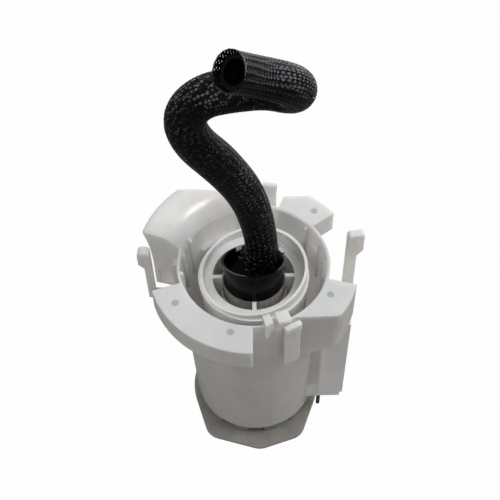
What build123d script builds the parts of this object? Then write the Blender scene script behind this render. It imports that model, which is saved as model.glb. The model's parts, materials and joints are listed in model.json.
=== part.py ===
"""Fuel pump module: a swirl pot that holds an electric pump, its valves, a sender plate and an outlet hose.

All lengths are in millimetres. +Z is up, the origin is on the pot's axis at the underside of the foot,
and -Y is the side that faces the viewer, with the front gap in the collar.
"""

import os
from math import asin, cos, degrees, pi, radians, sin, sqrt, tan

from build123d import *

# Overall heights
foot_plate = 3.0
foot_height = 11.3
pot_floor = 2.4
rim_height = 165.0

# Swirl pot
pot_wall = 2.0
pot_base_radius = 45.7
pot_rim_radius = 51.3
pot_edge_fillet = 1.5

# Collar round the rim
collar_radius = 70.3
collar_plate = 2.5
collar_wall = 2.0
collar_depth = 17.5
collar_lip = 0.9
mark_radius = 2.4
mark_depth = 0.4
mark_places = [(-51.4, -31.2), (-15.9, -54.3), (49.7, -27.3), (43.2, 43.5)]
front_left_start, front_left_end = 197.5, 268.5
front_right_end = -16.5
front_right_inset = 6.3
front_right_depth = 47.0
front_right_rise = 0.42
front_right_level = 31.0
front_right_corner = 8.0
back_right_start, back_right_end = 36.0, 68.5
back_flat = 57.5
lobe_start, lobe_end = 97.0, 165.0
lobe_height = 10.0
lobe_radius = 77.0
lobe_depth = 46.0
lobe_shoulder = 22.0
lobe_wall_angle = 2.0
lobe_pocket_width = 13.0
lobe_pocket_height = 15.0
lobe_pocket_depth = 1.1
lobe_inner_rise = (0.55, 1.0)
lobe_outer_fall = (-0.35, -1.0)

# Snap hooks on the collar, with heights measured from the rim
hook_shelf = 2.4
hook_edge = 0.6
left_hook_angle, left_hook_reach, left_hook_width, left_hook_arm = 176.0, 18.0, 7.0, 4.4
left_hook_rise, left_hook_drop, left_hook_head, left_hook_round = 9.5, 38.0, 8.2, 3.2
right_hook_angle, right_hook_reach, right_hook_width, right_hook_arm = 8.5, 12.4, 6.0, 6.8
right_hook_rise, right_hook_drop, right_hook_head, right_hook_round = 16.5, 43.0, 10.9, 2.0
back_hook_angle, back_hook_reach, back_hook_width, back_hook_arm = 78.0, 8.1, 9.5, 2.6
back_hook_rise, back_hook_drop, back_hook_head, back_hook_round = 11.0, 20.0, 4.6, 1.8
front_hook_angle, front_hook_reach, front_hook_width, front_hook_arm = -64.5, 2.9, 11.5, 2.6
front_hook_rise, front_hook_drop, front_hook_head, front_hook_round = 1.0, 41.0, 4.2, 1.2

# Details of the pot's wall
notch_block_width = 17.0
notch_block_inner = 44.5
notch_block_rise, notch_block_drop = 4.0, 11.0
notch_block_angle = -73.5
notch_block_slot, notch_block_slot_depth = 3.4, 7.0
clip_groove_angle = -78.0
clip_groove_radius = 4.4
clip_groove_cut = 1.1
clip_groove_drop = 25.0
clip_pit_radius = 0.75
clip_pit_cut = 0.7
clip_pit_drops = (8.0, 20.0)
guide_start, guide_end = 163.0, 171.0
guide_reach = 5.2
guide_drop, guide_length = 13.0, 30.0
rim_chamfer = 1.0
inner_rib_width = 2.6
inner_rib_height = 38.0
inner_rib_depth = 2.0
inner_rib_angles = (2.0, 20.0, 40.0, 152.0, 168.0, 186.0)
pad_start, pad_end = 100.0, 140.0
pad_height = 11.0
pad_drop = 24.0
pad_depth = 3.0
boss_angle = 28.0
boss_radius = 8.0
boss_height_radius = 10.4
boss_depth = 1.4
boss_drop = 26.0

# Foot under the pot
foot_radius = 49.5
foot_corner_radius = 14.0
foot_corner_reach = 43.8
foot_corner_angles = (-127.0, -87.0, -57.0, 57.0, 87.0, 127.0)
foot_wall_radius = 44.0
foot_wall = 2.5
foot_edge_fillet = 0.8
foot_window_width = 12.0
foot_window_height = 5.5
foot_window_count = 12
inlet_slot_length = 14.0
inlet_slot_width = 4.5
inlet_slot_radius = 24.0
inlet_slot_count = 6

# Foot valve
valve_disc_radius = 10.0
valve_disc_thickness = 1.5
valve_stem_radius = 1.65
valve_travel = 1.5
valve_port_radius = 1.9
valve_port_ring = 6.0
valve_port_count = 6
valve_head_radius = 2.5
valve_head_tip = 1.2
valve_disc_edge = 0.75
valve_head_height = 1.4

# Clearances
running_gap = 0.05
seat_gap = 0.3
stop_gap = 0.1

# Pump holder
holder_radius = 36.5
holder_wall = 2.0
holder_shelf_height = 150.0
holder_shelf = 2.0
holder_lip_high = 12.0
holder_lip_low = 2.5
holder_lip_angle = 12.0
collar_band = 1.2
collar_skirt = 1.2
collar_skirt_drop = 3.0
holder_sleeve_radius = 29.6
holder_sleeve_wall = 1.6
holder_sleeve_depth = 40.0
holder_cradle_wall = 1.6
holder_cradle_drop = 14.0
holder_web = 2.8
holder_web_count = 4
holder_window_width = 22.0
holder_window_height = 46.0
holder_window_count = 4

# Electric pump
can_radius = 19.0
can_wall = 0.6
can_bottom_share = 0.4
can_top_drop = 10.0
can_crimp = 3.0
can_crimp_thickness = 1.0
isolator_wall = 2.0
isolator_drop = 46.0
isolator_rib_count = 16
isolator_rib = 0.25
isolator_rib_start = 11.25
nipple_radius = 5.0
nipple_bore = 3.2
nipple_length = 10.0
nipple_offset = 9.0
inlet_cover_thickness = 7.0
channel_width = 2.4
channel_depth = 1.2
impeller_thickness = 3.6
impeller_radius = 15.7
impeller_vane_count = 30
impeller_vane_depth = 2.2
impeller_vane_width = 1.5
chamber_plate_thickness = 4.0
lower_bearing_radius = 4.5
lower_bearing_flange = 6.2
upper_bearing_radius = 3.6
bearing_length = 6.5
bearing_flange_thickness = 1.2
shaft_radius = 2.0
shaft_end = 0.8
shaft_chamfer = 0.4
core_rise = 8.0
washer_radius = 4.2
washer_thickness = 0.6
core_radius = 11.5
core_slot_count = 8
core_slot_width = 1.8
core_slot_depth = 3.5
winding_radius = 10.6
winding_inner = 4.4
winding_height = 3.4
winding_bulge = 1.2
winding_slot_gap = 0.1
commutator_radius = 9.5
commutator_height = 4.0
commutator_gap = 0.6
commutator_drop = 7.8
commutator_slot_count = 8
commutator_slot = 0.5
commutator_slot_depth = 1.0
commutator_slot_length = 5.7
magnet_inner = 12.1
magnet_outer = 16.3
magnet_span = 140.0
magnet_angle = 45.0
magnet_overhang = 3.0
flux_ring_wall = 1.5
brush_radial, brush_tangent, brush_length = 4.0, 4.6, 9.0
brush_offset = 6.9
brush_guide_wall = 1.0
brush_guide_gap = 0.1
brush_travel = 2.0
brush_spring_radius = 1.5
brush_spring_closed = 1.4
brush_spring_length = brush_travel + brush_spring_closed
brush_angle = 135.0
cover_thickness = 13.0
cover_skirt = 8.0
cover_skirt_wall = 1.5
cover_hub_radius = 4.6
cover_hub_drop = 6.8
terminal_width, terminal_thickness, terminal_height = 4.8, 0.8, 8.0
terminal_offset = 11.5
terminal_fillet = 0.2
terminal_angles = (150.0, -60.0)

# Pump outlet and its check valve
outlet_x, outlet_y = 6.0, 6.0
barb_radius = 6.0
barb_bore = 4.2
barb_height = 17.0
barb_neck = 0.5
barb_ridge = 4.5
barb_ridge_length = 2.7
barb_ridge_count = 3
plunger_radius = 3.4
plunger_length = 5.0
plunger_nose = 1.4
plunger_travel = 2.0
seat_bore = 2.2
plunger_nose_gap = 0.3
valve_spring_wall = 0.7
valve_spring_closed = 3.5
valve_spring_length = plunger_travel + valve_spring_closed
retainer_thickness = 1.2
retainer_hole = 2.0

# Relief valve in the outlet cover
relief_x, relief_y = -8.6, -8.6
relief_bore = 2.6
relief_seat_bore = 1.2
relief_seat_depth = 3.0
relief_ball_radius = 2.2
relief_plug_thickness = 1.6
relief_plug_hole = 0.8
relief_spring_radius = 1.9
relief_spring_wall = 0.5

# Pump cap
cap_radius = 21.5
cap_wall = 1.6
cap_floor = 2.0
cap_front_height = 28.0
cap_back_height = 7.0
cap_notch_width = 5.0
cap_notch_angle = 118.0
cap_hole_gap = 0.4

# Intake filter
filter_radius = 24.0
filter_mesh_wall = 0.8
filter_lift = 6.3
filter_disc = 2.2
filter_post_radius = 1.2
filter_post_count = 8
filter_hub_wall = 2.0

# Sender plate, its rails and guide pin
plate_y = -25.0
plate_thickness = 2.2
plate_gap = 1.2
plate_width = 20.0
plate_tab_inset = 3.4
plate_bottom = 26.0
plate_foot_step = 5.0
plate_ledge = 31.0
plate_shoulder_drop = 39.0
plate_top_drop = 22.0
plate_return = 10.0
plate_return_wall = 1.8
plate_return_low = 38.0
plate_return_drop = 8.0
rail_gap = 0.25
rail_thickness = 1.6
rail_reach = 2.0
rail_top_drop = 4.0
rear_rail_bottom = 47.0
card_width, card_height, card_thickness = 13.0, 44.0, 0.8
card_bottom = 62.0
card_inset = 4.8
card_track_count = 5
card_track_height = 35.0
card_track_relief = 0.4
pin_radius = 1.5
pin_bottom = 4.8
pin_inset = 2.8
pin_gap = 0.1
pin_fillet = 0.6
lug_size = 6.0
lug_bottom = 33.0
lug_height = 12.0

# Outlet hose in its braided sleeve, with its route measured from the middle of the outlet's seat
hose_radius = 9.4
hose_bore = 6.2
cuff_radius = 8.4
cuff_length = 5.5
sleeve_radius = 10.75
sleeve_lift = 13.3
clamp_lift = 2.5
clamp_band = 6.0
clamp_wall = 0.5
clamp_ear = 2.4
hose_steps = [
    (0.0, 0.0, 1.3),
    (0.0, 0.0, 25.0),
    (-1.5, -1.5, 57.0),
    (-9.0, -7.0, 97.0),
    (-23.0, -14.5, 131.0),
    (-38.5, -21.5, 158.0),
    (-42.0, -23.5, 178.0),
    (-32.0, -24.0, 192.5),
    (-15.0, -24.0, 197.0),
    (2.0, -25.5, 200.0),
    (16.8, -38.8, 207.8),
    (12.8, -51.3, 224.8),
    (-6.7, -53.5, 232.7),
    (-13.4, -58.8, 239.2),
]
arc_share = 0.45

# Places that follow from the sizes above
floor_top = foot_height + pot_floor
front_right_flat = pot_rim_radius - front_right_inset - pot_wall / 2
can_bottom = can_bottom_share * holder_shelf_height
can_top = holder_shelf_height - can_top_drop
isolator_bottom = holder_shelf_height - isolator_drop
filter_bottom = floor_top + filter_lift
inlet_cover_top = can_bottom + can_crimp_thickness + inlet_cover_thickness
impeller_bottom = inlet_cover_top + seat_gap
plate_underside = impeller_bottom + impeller_thickness + seat_gap
plate_upper = plate_underside + chamber_plate_thickness
cover_top = can_top - can_crimp_thickness
cover_bottom = cover_top - cover_thickness
can_inner = can_radius - can_wall
insert_radius = can_inner - seat_gap
isolator_radius = can_radius + seat_gap + isolator_wall
cradle_radius = isolator_radius + seat_gap + holder_cradle_wall
cap_bottom = holder_shelf_height
shaft_rest = 2.5
shaft_bottom = inlet_cover_top - shaft_rest + seat_gap
shaft_top = cover_bottom + shaft_end
shaft_length = shaft_top - shaft_bottom
commutator_top = cover_bottom - commutator_drop
commutator_bottom = commutator_top - commutator_height
core_top = commutator_bottom - commutator_gap - winding_height
core_bottom = plate_upper + core_rise
core_length = core_top - core_bottom
upper_bearing_top = shaft_top + seat_gap
plate_left = sqrt(pot_rim_radius**2 - plate_y**2) + plate_gap
plate_right = plate_left + plate_width
plate_tab_right = plate_right - plate_tab_inset
plate_shoulder = rim_height - plate_shoulder_drop
plate_top = rim_height - plate_top_drop
plate_return_high = plate_shoulder - plate_return_drop
rail_top = plate_top - rail_top_drop
card_left = plate_left + card_inset
pin_x = plate_left + pin_inset
hose_route = [(outlet_x + step[0], outlet_y + step[1], cover_top + step[2]) for step in hose_steps]
hose_bottom = hose_route[0][2]
sleeve_start = cover_top + sleeve_lift
clamp_bottom = cover_top + clamp_lift

os.makedirs("parts", exist_ok=True)


def pot_radius(height):
    """Outer radius of the tapered pot at a height above the floor."""
    share = (height - foot_height) / (rim_height - foot_height)
    return pot_base_radius + (pot_rim_radius - pot_base_radius) * share


def ring_piece(inner, outer, start, end, height):
    """Plan of a ring segment between two angles in degrees, at a height."""
    with BuildSketch(Plane.XY.offset(height)) as plan:
        with BuildLine():
            far = CenterArc((0, 0), outer, start, end - start)
            near = CenterArc((0, 0), inner, start, end - start)
            Line(near @ 0, far @ 0)
            Line(near @ 1, far @ 1)
        make_face()
    return plan.sketch


def radial_plane(angle, radius=0.0, height=0.0):
    """Plane whose local x points outward at an angle and whose local y points up."""
    outward = Vector(cos(radians(angle)), sin(radians(angle)), 0)
    sideways = Vector(sin(radians(angle)), -cos(radians(angle)), 0)
    return Plane(outward * radius + Vector(0, 0, height), x_dir=outward, z_dir=sideways)


def tube(outer, inner, bottom, top, centre=(0, 0)):
    """Solid tube on a vertical axis."""
    with BuildPart() as body:
        with BuildSketch(Plane.XY.offset(bottom)):
            with Locations(centre):
                Circle(outer)
                Circle(inner, mode=Mode.SUBTRACT)
        extrude(amount=top - bottom)
    return body.part


# Collar segments: top plate, skirt and end walls, open underneath

def hollow_segment(plan, depth):
    """Raises a plan into a box that is open below, with a lip round its top plate."""
    with BuildPart() as segment:
        extrude(plan, amount=-depth)
        with BuildSketch(Plane.XY.offset(rim_height - collar_plate)):
            add(plan.moved(Location((0, 0, -collar_plate))))
            offset(amount=-collar_wall, kind=Kind.INTERSECTION)
        extrude(amount=-depth, mode=Mode.SUBTRACT)
    return segment.part


front_left_plan = ring_piece(
    pot_rim_radius - pot_wall / 2, collar_radius, front_left_start, front_left_end, rim_height
)
with BuildPart() as front_left:
    add(hollow_segment(front_left_plan, collar_depth))
    fillet(front_left.edges().group_by(Axis.Z)[-1].sort_by(SortBy.LENGTH)[-1], collar_lip)

front_right_inner = pot_radius(rim_height - front_right_depth) - pot_wall / 2
flat_angle_near = -degrees(asin(front_right_flat / front_right_inner))
flat_angle_far = -degrees(asin(front_right_flat / collar_radius))
with BuildSketch(Plane.XY.offset(rim_height)) as front_right_plan:
    with BuildLine():
        near_arc = CenterArc(
            (0, 0), front_right_inner, flat_angle_near, front_right_end - flat_angle_near
        )
        far_arc = CenterArc((0, 0), collar_radius, flat_angle_far, front_right_end - flat_angle_far)
        Line(near_arc @ 0, far_arc @ 0)
        Line(near_arc @ 1, far_arc @ 1)
    make_face()
    outer_corner = front_right_plan.vertices().group_by(Axis.Y)[0].sort_by(Axis.X)[-1]
    fillet(outer_corner, front_right_corner)
with BuildPart() as front_right:
    add(hollow_segment(front_right_plan.sketch, front_right_depth))
    with BuildSketch(Plane.XZ.offset(-collar_radius)):
        low = rim_height - front_right_depth
        with BuildLine():
            Polyline(
                (0, low),
                (front_right_level, low),
                (2 * collar_radius, low + (2 * collar_radius - front_right_level) * front_right_rise),
                (2 * collar_radius, low - collar_wall),
                (0, low - collar_wall),
                close=True,
            )
        make_face()
    extrude(amount=2 * collar_radius, mode=Mode.SUBTRACT)

with BuildSketch(Plane.XY.offset(rim_height)) as back_right_plan:
    inner_edge = pot_rim_radius - pot_wall / 2
    add(ring_piece(inner_edge, collar_radius, back_right_start, back_right_end, rim_height))
    with Locations((collar_radius / 2, back_flat + collar_radius / 2)):
        Rectangle(2 * collar_radius, collar_radius, mode=Mode.SUBTRACT)
with BuildPart() as back_right:
    add(hollow_segment(back_right_plan.sketch, collar_depth))

# Raised lobe at the back left, a soft funnel that runs down into the pot
lobe_foot = rim_height - lobe_depth
lobe_crown = (lobe_radius - 2 * collar_wall, rim_height + lobe_height)
funnel_start = (pot_rim_radius - pot_wall, rim_height - 2 * collar_plate)
lobe_turn = lobe_end - lobe_start
with BuildPart() as lobe:
    with BuildSketch(radial_plane(lobe_start)):
        with BuildLine():
            lobe_inner = (pot_radius(lobe_foot) - pot_wall / 2, lobe_foot)
            lobe_wall = collar_radius + collar_wall
            Line(lobe_inner, funnel_start)
            Spline(funnel_start, lobe_crown, tangents=(lobe_inner_rise, (1.0, 0.0)))
            Line(lobe_crown, (lobe_radius, rim_height + lobe_height))
            Spline(
                (lobe_radius, rim_height + lobe_height),
                (lobe_wall, rim_height - lobe_shoulder),
                tangents=(lobe_outer_fall, (0.0, -1.0)),
            )
            Polyline((lobe_wall, rim_height - lobe_shoulder), (lobe_wall, lobe_foot), lobe_inner)
        make_face()
    revolve(axis=Axis.Z, revolution_arc=lobe_turn)
    extrude(
        ring_piece(
            lobe_inner[0],
            collar_radius,
            lobe_start + lobe_wall_angle,
            lobe_end - lobe_wall_angle,
            lobe_foot,
        ),
        amount=lobe_depth - 2 * collar_plate,
        mode=Mode.SUBTRACT,
    )
    with BuildSketch(Plane.XY):
        with Locations((-collar_radius / 2, back_flat + collar_radius / 2)):
            Rectangle(3 * collar_radius, collar_radius)
    extrude(amount=2 * rim_height, mode=Mode.SUBTRACT)
    pocket_radius = (lobe_inner[0] + lobe_wall) / 2 + collar_wall
    pocket_height = lobe_foot + lobe_pocket_height / 2 + collar_wall
    with BuildSketch(radial_plane(lobe_end, pocket_radius, pocket_height)):
        Rectangle(lobe_pocket_width, lobe_pocket_height)
    extrude(amount=lobe_pocket_depth, mode=Mode.SUBTRACT)

with BuildPart() as funnel:
    with BuildSketch(radial_plane(lobe_start)):
        with BuildLine():
            Spline(funnel_start, lobe_crown, tangents=(lobe_inner_rise, (1.0, 0.0)))
            Polyline(
                lobe_crown,
                (lobe_crown[0], lobe_crown[1] + lobe_height),
                (0, lobe_crown[1] + lobe_height),
                (0, funnel_start[1]),
                funnel_start,
            )
        make_face()
    revolve(axis=Axis.Z, revolution_arc=lobe_turn)


def snap_hook(angle, reach, width, arm, rise, drop, head, top_round):
    """Springy arm on a shelf of the pot, with an outward hook at its rounded top."""
    root = rim_height - drop
    top = rim_height + rise
    near = pot_rim_radius + reach
    start = pot_radius(root - hook_shelf) - pot_wall / 2
    with BuildPart() as hook:
        with BuildSketch(radial_plane(angle)) as profile:
            with BuildLine():
                Polyline(
                    (near, root),
                    (near, top),
                    (near + head, top),
                    (near + head, top - 1.5 * head),
                    (near + arm, top - 2 * head),
                    (near + arm, root - hook_shelf),
                    (start, root - hook_shelf),
                    (start, root),
                    close=True,
                )
            make_face()
            fillet(profile.vertices().group_by(Axis.Y)[-1], top_round)
        extrude(amount=width / 2, both=True)
        fillet(hook.edges().filter_by_position(Axis.Z, root + 1, top + 1), hook_edge)
    return hook.part


hooks = [
    snap_hook(
        left_hook_angle,
        left_hook_reach,
        left_hook_width,
        left_hook_arm,
        left_hook_rise,
        left_hook_drop,
        left_hook_head,
        left_hook_round,
    ),
    snap_hook(
        right_hook_angle,
        right_hook_reach,
        right_hook_width,
        right_hook_arm,
        right_hook_rise,
        right_hook_drop,
        right_hook_head,
        right_hook_round,
    ),
    snap_hook(
        back_hook_angle,
        back_hook_reach,
        back_hook_width,
        back_hook_arm,
        back_hook_rise,
        back_hook_drop,
        back_hook_head,
        back_hook_round,
    ),
    snap_hook(
        front_hook_angle,
        front_hook_reach,
        front_hook_width,
        front_hook_arm,
        front_hook_rise,
        front_hook_drop,
        front_hook_head,
        front_hook_round,
    ),
]

# Swirl pot, one moulding with its collar, hooks, sender rails and inner ribs
rail_inner = plate_thickness / 2 + rail_gap
with BuildPart() as pot:
    with BuildSketch(Plane.XZ):
        with BuildLine():
            Polyline(
                (0, foot_height),
                (pot_base_radius, foot_height),
                (pot_rim_radius, rim_height),
                (0, rim_height),
                close=True,
            )
        make_face()
    revolve(axis=Axis.Z)
    fillet(pot.edges().group_by(Axis.Z)[0], pot_edge_fillet)
    add(front_left.part)
    add(front_right.part)
    add(back_right.part)
    add(lobe.part)
    for hook in hooks:
        add(hook)
    guide_low = rim_height - guide_drop - guide_length
    guide_plan = ring_piece(
        pot_rim_radius - pot_wall, pot_rim_radius + guide_reach, guide_start, guide_end, guide_low
    )
    extrude(guide_plan, amount=guide_length)
    for side, rail_bottom in ((-1, plate_ledge - pot_wall), (1, rear_rail_bottom)):
        rail_y = plate_y + side * (rail_inner + rail_thickness / 2)
        with Locations(((plate_left + rail_reach) / 2, rail_y, (rail_bottom + rail_top) / 2)):
            Box(plate_left + rail_reach, rail_thickness, rail_top - rail_bottom)
    with Locations(((plate_left + rail_reach) / 2, plate_y, plate_ledge - pot_wall / 2)):
        Box(plate_left + rail_reach, 2 * rail_inner, pot_wall)
    with BuildSketch(Plane.XZ):
        with BuildLine():
            Polyline(
                (0, floor_top),
                (pot_radius(floor_top) - pot_wall, floor_top),
                (pot_rim_radius - pot_wall, rim_height - rim_chamfer),
                (pot_rim_radius - pot_wall + rim_chamfer, rim_height),
                (pot_rim_radius - pot_wall, rim_height),
                (pot_rim_radius - pot_wall, rim_height + 3 * lobe_height),
                (0, rim_height + 3 * lobe_height),
                close=True,
            )
        make_face()
    revolve(axis=Axis.Z, mode=Mode.SUBTRACT)
    add(funnel.part, mode=Mode.SUBTRACT)
    notch_outer = pot_rim_radius + pot_wall
    notch_span = (notch_block_inner + notch_outer) / 2
    notch_middle = rim_height + (notch_block_rise - notch_block_drop) / 2
    with BuildSketch(radial_plane(notch_block_angle, 0, notch_middle)):
        with Locations((notch_span, 0)):
            Rectangle(notch_outer - notch_block_inner, notch_block_rise + notch_block_drop)
    extrude(amount=notch_block_width / 2, both=True)
    slot_middle = rim_height + notch_block_rise - notch_block_slot_depth / 2
    with BuildSketch(radial_plane(notch_block_angle, 0, slot_middle)):
        with Locations((notch_span, 0)):
            Rectangle(notch_outer - notch_block_inner + 2 * pot_wall, notch_block_slot_depth)
    extrude(amount=notch_block_slot, mode=Mode.SUBTRACT)
    groove_middle = notch_outer + clip_groove_radius - clip_groove_cut
    with BuildSketch(Plane.XY.offset(rim_height - clip_groove_drop)):
        with PolarLocations(groove_middle, 1, start_angle=clip_groove_angle):
            Circle(clip_groove_radius)
    extrude(amount=clip_groove_drop + 2 * notch_block_rise, mode=Mode.SUBTRACT)
    for pit_drop in clip_pit_drops:
        pit_height = rim_height - pit_drop
        pit = radial_plane(clip_groove_angle, pot_radius(pit_height) - clip_pit_cut, pit_height)
        with BuildSketch(Plane(pit.origin, x_dir=(0, 0, 1), z_dir=pit.x_dir)):
            Circle(clip_pit_radius)
        extrude(amount=notch_outer, mode=Mode.SUBTRACT)
    rib_top = rim_height - pot_wall
    rib_low = rib_top - inner_rib_height
    for angle in inner_rib_angles:
        with BuildSketch(radial_plane(angle)):
            with BuildLine():
                Polyline(
                    (pot_radius(rib_low) - pot_wall / 2, rib_low),
                    (pot_radius(rib_low) - pot_wall - inner_rib_depth, rib_low + inner_rib_depth),
                    (pot_rim_radius - pot_wall - inner_rib_depth, rib_top - inner_rib_depth),
                    (pot_rim_radius - pot_wall / 2, rib_top),
                    close=True,
                )
            make_face()
        extrude(amount=inner_rib_width / 2, both=True)
    pad_low = rim_height - pad_drop - pad_height
    pad_outer = pot_radius(pad_low) - pot_wall / 2
    extrude(
        ring_piece(pad_outer - pot_wall / 2 - pad_depth, pad_outer, pad_start, pad_end, pad_low),
        amount=pad_height,
    )
    boss_height = rim_height - boss_drop
    boss_wall = pot_radius(boss_height) - pot_wall
    boss_face = radial_plane(boss_angle, boss_wall - boss_depth, boss_height)
    with BuildSketch(Plane(boss_face.origin, x_dir=(0, 0, 1), z_dir=boss_face.x_dir)):
        Ellipse(boss_height_radius, boss_radius)
    extrude(amount=boss_depth + pot_wall / 2)
    with BuildSketch(Plane.XY.offset(foot_height)):
        Circle(valve_stem_radius + running_gap)
        with PolarLocations(valve_port_ring, valve_port_count):
            Circle(valve_port_radius)
    extrude(amount=pot_floor, mode=Mode.SUBTRACT)
    with BuildSketch(Plane.XY.offset(rim_height)):
        with Locations(*mark_places):
            Circle(mark_radius)
    extrude(amount=-mark_depth, mode=Mode.SUBTRACT)
pot.part.label = "reservoir_pot"
export_step(pot.part, "parts/reservoir_pot.step")

# Foot with soft corners, and a windowed wall that spaces it from the pot
with BuildPart() as foot:
    with BuildSketch():
        with BuildLine():
            CenterArc((0, 0), foot_radius, 0, 360)
            for angle in foot_corner_angles:
                corner_x = foot_corner_reach * cos(radians(angle))
                corner_y = foot_corner_reach * sin(radians(angle))
                CenterArc((corner_x, corner_y), foot_corner_radius, 0, 360)
        make_hull()
        with PolarLocations(inlet_slot_radius, inlet_slot_count):
            SlotOverall(inlet_slot_length, inlet_slot_width, mode=Mode.SUBTRACT)
    extrude(amount=foot_plate)
    with BuildSketch(Plane.XY.offset(foot_plate)):
        Circle(foot_wall_radius)
        Circle(foot_wall_radius - foot_wall, mode=Mode.SUBTRACT)
    extrude(amount=foot_height - foot_plate)
    window_middle = foot_plate + foot_window_height / 2
    with PolarLocations(foot_wall_radius, foot_window_count):
        with Locations((0, 0, window_middle)):
            Box(3 * foot_wall, foot_window_width, foot_window_height, mode=Mode.SUBTRACT)
    fillet(foot.faces().sort_by(Axis.Z)[0].outer_wire().edges(), foot_edge_fillet)
foot.part.label = "base_foot"
export_step(foot.part, "parts/base_foot.step")

# Foot valve: a disc on a stem that snaps through the pot's floor
with BuildPart() as foot_valve:
    stem_bottom = foot_height - valve_travel - stop_gap
    with BuildSketch(Plane.XZ):
        with BuildLine():
            Polyline(
                (0, stem_bottom - valve_head_height),
                (valve_head_tip, stem_bottom - valve_head_height),
                (valve_head_radius, stem_bottom),
                (valve_stem_radius, stem_bottom),
                (valve_stem_radius, floor_top),
                (valve_disc_radius, floor_top),
                (valve_disc_radius, floor_top + valve_disc_edge),
                (valve_stem_radius * 2, floor_top + valve_disc_thickness),
                (0, floor_top + valve_disc_thickness),
                close=True,
            )
        make_face()
    revolve(axis=Axis.Z)
foot_valve.part.label = "foot_valve_disc"
export_step(foot_valve.part, "parts/foot_valve_disc.step")

# Collar with a slanted lip that clips over the top of the pump holder
with BuildPart() as holder_collar:
    lip_top = holder_shelf_height + holder_lip_high + holder_wall
    add(tube(holder_radius, holder_radius - holder_wall, holder_shelf_height, lip_top))
    lip_middle = (holder_lip_high + holder_lip_low) / 2
    lip_slope = (holder_lip_high - holder_lip_low) / 2 / holder_radius
    lip_normal = Vector(
        -lip_slope * cos(radians(holder_lip_angle)), -lip_slope * sin(radians(holder_lip_angle)), 1
    )
    split(bisect_by=Plane((0, 0, holder_shelf_height + lip_middle), z_dir=lip_normal), keep=Keep.BOTTOM)
    skirt_inner = holder_radius + running_gap
    skirt_outer = skirt_inner + collar_skirt
    band_top = holder_shelf_height + collar_band
    add(tube(skirt_outer, holder_radius - holder_wall, holder_shelf_height, band_top))
    add(tube(skirt_outer, skirt_inner, holder_shelf_height - collar_skirt_drop, band_top))
holder_collar.part.label = "holder_collar"
export_step(holder_collar.part, "parts/holder_collar.step")

# Pump holder: a basket on the pot's floor with four webs that carry the pump
with BuildPart() as holder:
    add(tube(holder_radius, holder_radius - holder_wall, floor_top, holder_shelf_height))
    sleeve_bottom = holder_shelf_height - holder_sleeve_depth
    add(
        tube(
            holder_radius - holder_wall / 2,
            holder_sleeve_radius - holder_sleeve_wall,
            holder_shelf_height - holder_shelf,
            holder_shelf_height,
        )
    )
    add(
        tube(
            holder_sleeve_radius,
            holder_sleeve_radius - holder_sleeve_wall,
            sleeve_bottom,
            holder_shelf_height,
        )
    )
    add(
        tube(
            cradle_radius,
            cradle_radius - holder_cradle_wall,
            sleeve_bottom,
            holder_shelf_height - holder_cradle_drop,
        )
    )
    web_inner = isolator_radius + seat_gap
    web_length = holder_sleeve_radius - holder_sleeve_wall / 2 - web_inner
    with PolarLocations(web_inner + web_length / 2, holder_web_count):
        with Locations((0, 0, holder_shelf_height - holder_sleeve_depth / 2)):
            Box(web_length, holder_web, holder_sleeve_depth)
    with PolarLocations(holder_radius - holder_wall / 2, holder_window_count, start_angle=45):
        with Locations((0, 0, floor_top + holder_window_height / 2)):
            Box(3 * holder_wall, holder_window_width, holder_window_height, mode=Mode.SUBTRACT)
holder.part.label = "pump_holder"
export_step(holder.part, "parts/pump_holder.step")

# Rubber isolator between the holder and the pump
with BuildPart() as isolator:
    add(tube(isolator_radius - isolator_rib, can_radius + seat_gap, isolator_bottom, cap_bottom))
    rib_middle = isolator_radius - isolator_wall / 2
    with PolarLocations(rib_middle, isolator_rib_count, start_angle=isolator_rib_start):
        with Locations((0, 0, (isolator_bottom + cap_bottom) / 2)):
            Box(isolator_wall, isolator_wall, cap_bottom - isolator_bottom)
isolator.part.label = "rubber_isolator"
export_step(isolator.part, "parts/rubber_isolator.step")

# Steel can of the pump, rolled in at both ends
with BuildPart() as can:
    add(tube(can_radius, can_inner, can_bottom, can_top))
    crimp_outer = can_radius - can_wall / 2
    add(tube(crimp_outer, can_radius - can_crimp, can_bottom, can_bottom + can_crimp_thickness))
    add(tube(crimp_outer, can_radius - can_crimp, cover_top, can_top))
can.part.label = "pump_can"
export_step(can.part, "parts/pump_can.step")

# Inlet cover with its nipple and the wall of the impeller chamber
with BuildPart() as inlet_cover:
    with BuildSketch(Plane.XY.offset(can_bottom + can_crimp_thickness)):
        Circle(insert_radius)
    extrude(amount=inlet_cover_thickness)
    chamber_inner = impeller_radius + seat_gap
    add(tube(insert_radius, chamber_inner, inlet_cover_top, plate_underside))
    with BuildSketch(Plane.XY.offset(can_bottom - nipple_length)):
        with Locations((0, -nipple_offset)):
            Circle(nipple_radius)
    extrude(amount=nipple_length + can_crimp_thickness)
    with BuildSketch(Plane.XY.offset(can_bottom - nipple_length)):
        with Locations((0, -nipple_offset)):
            Circle(nipple_bore)
    extrude(amount=nipple_length + can_crimp_thickness + inlet_cover_thickness, mode=Mode.SUBTRACT)
    with BuildSketch(Plane.XY.offset(inlet_cover_top)):
        Circle(impeller_radius)
        Circle(impeller_radius - channel_width, mode=Mode.SUBTRACT)
    extrude(amount=-channel_depth, mode=Mode.SUBTRACT)
    with BuildSketch(Plane.XY.offset(inlet_cover_top)):
        Circle(shaft_radius + running_gap)
    extrude(amount=-shaft_rest, mode=Mode.SUBTRACT)
inlet_cover.part.label = "inlet_cover"
export_step(inlet_cover.part, "parts/inlet_cover.step")

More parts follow.
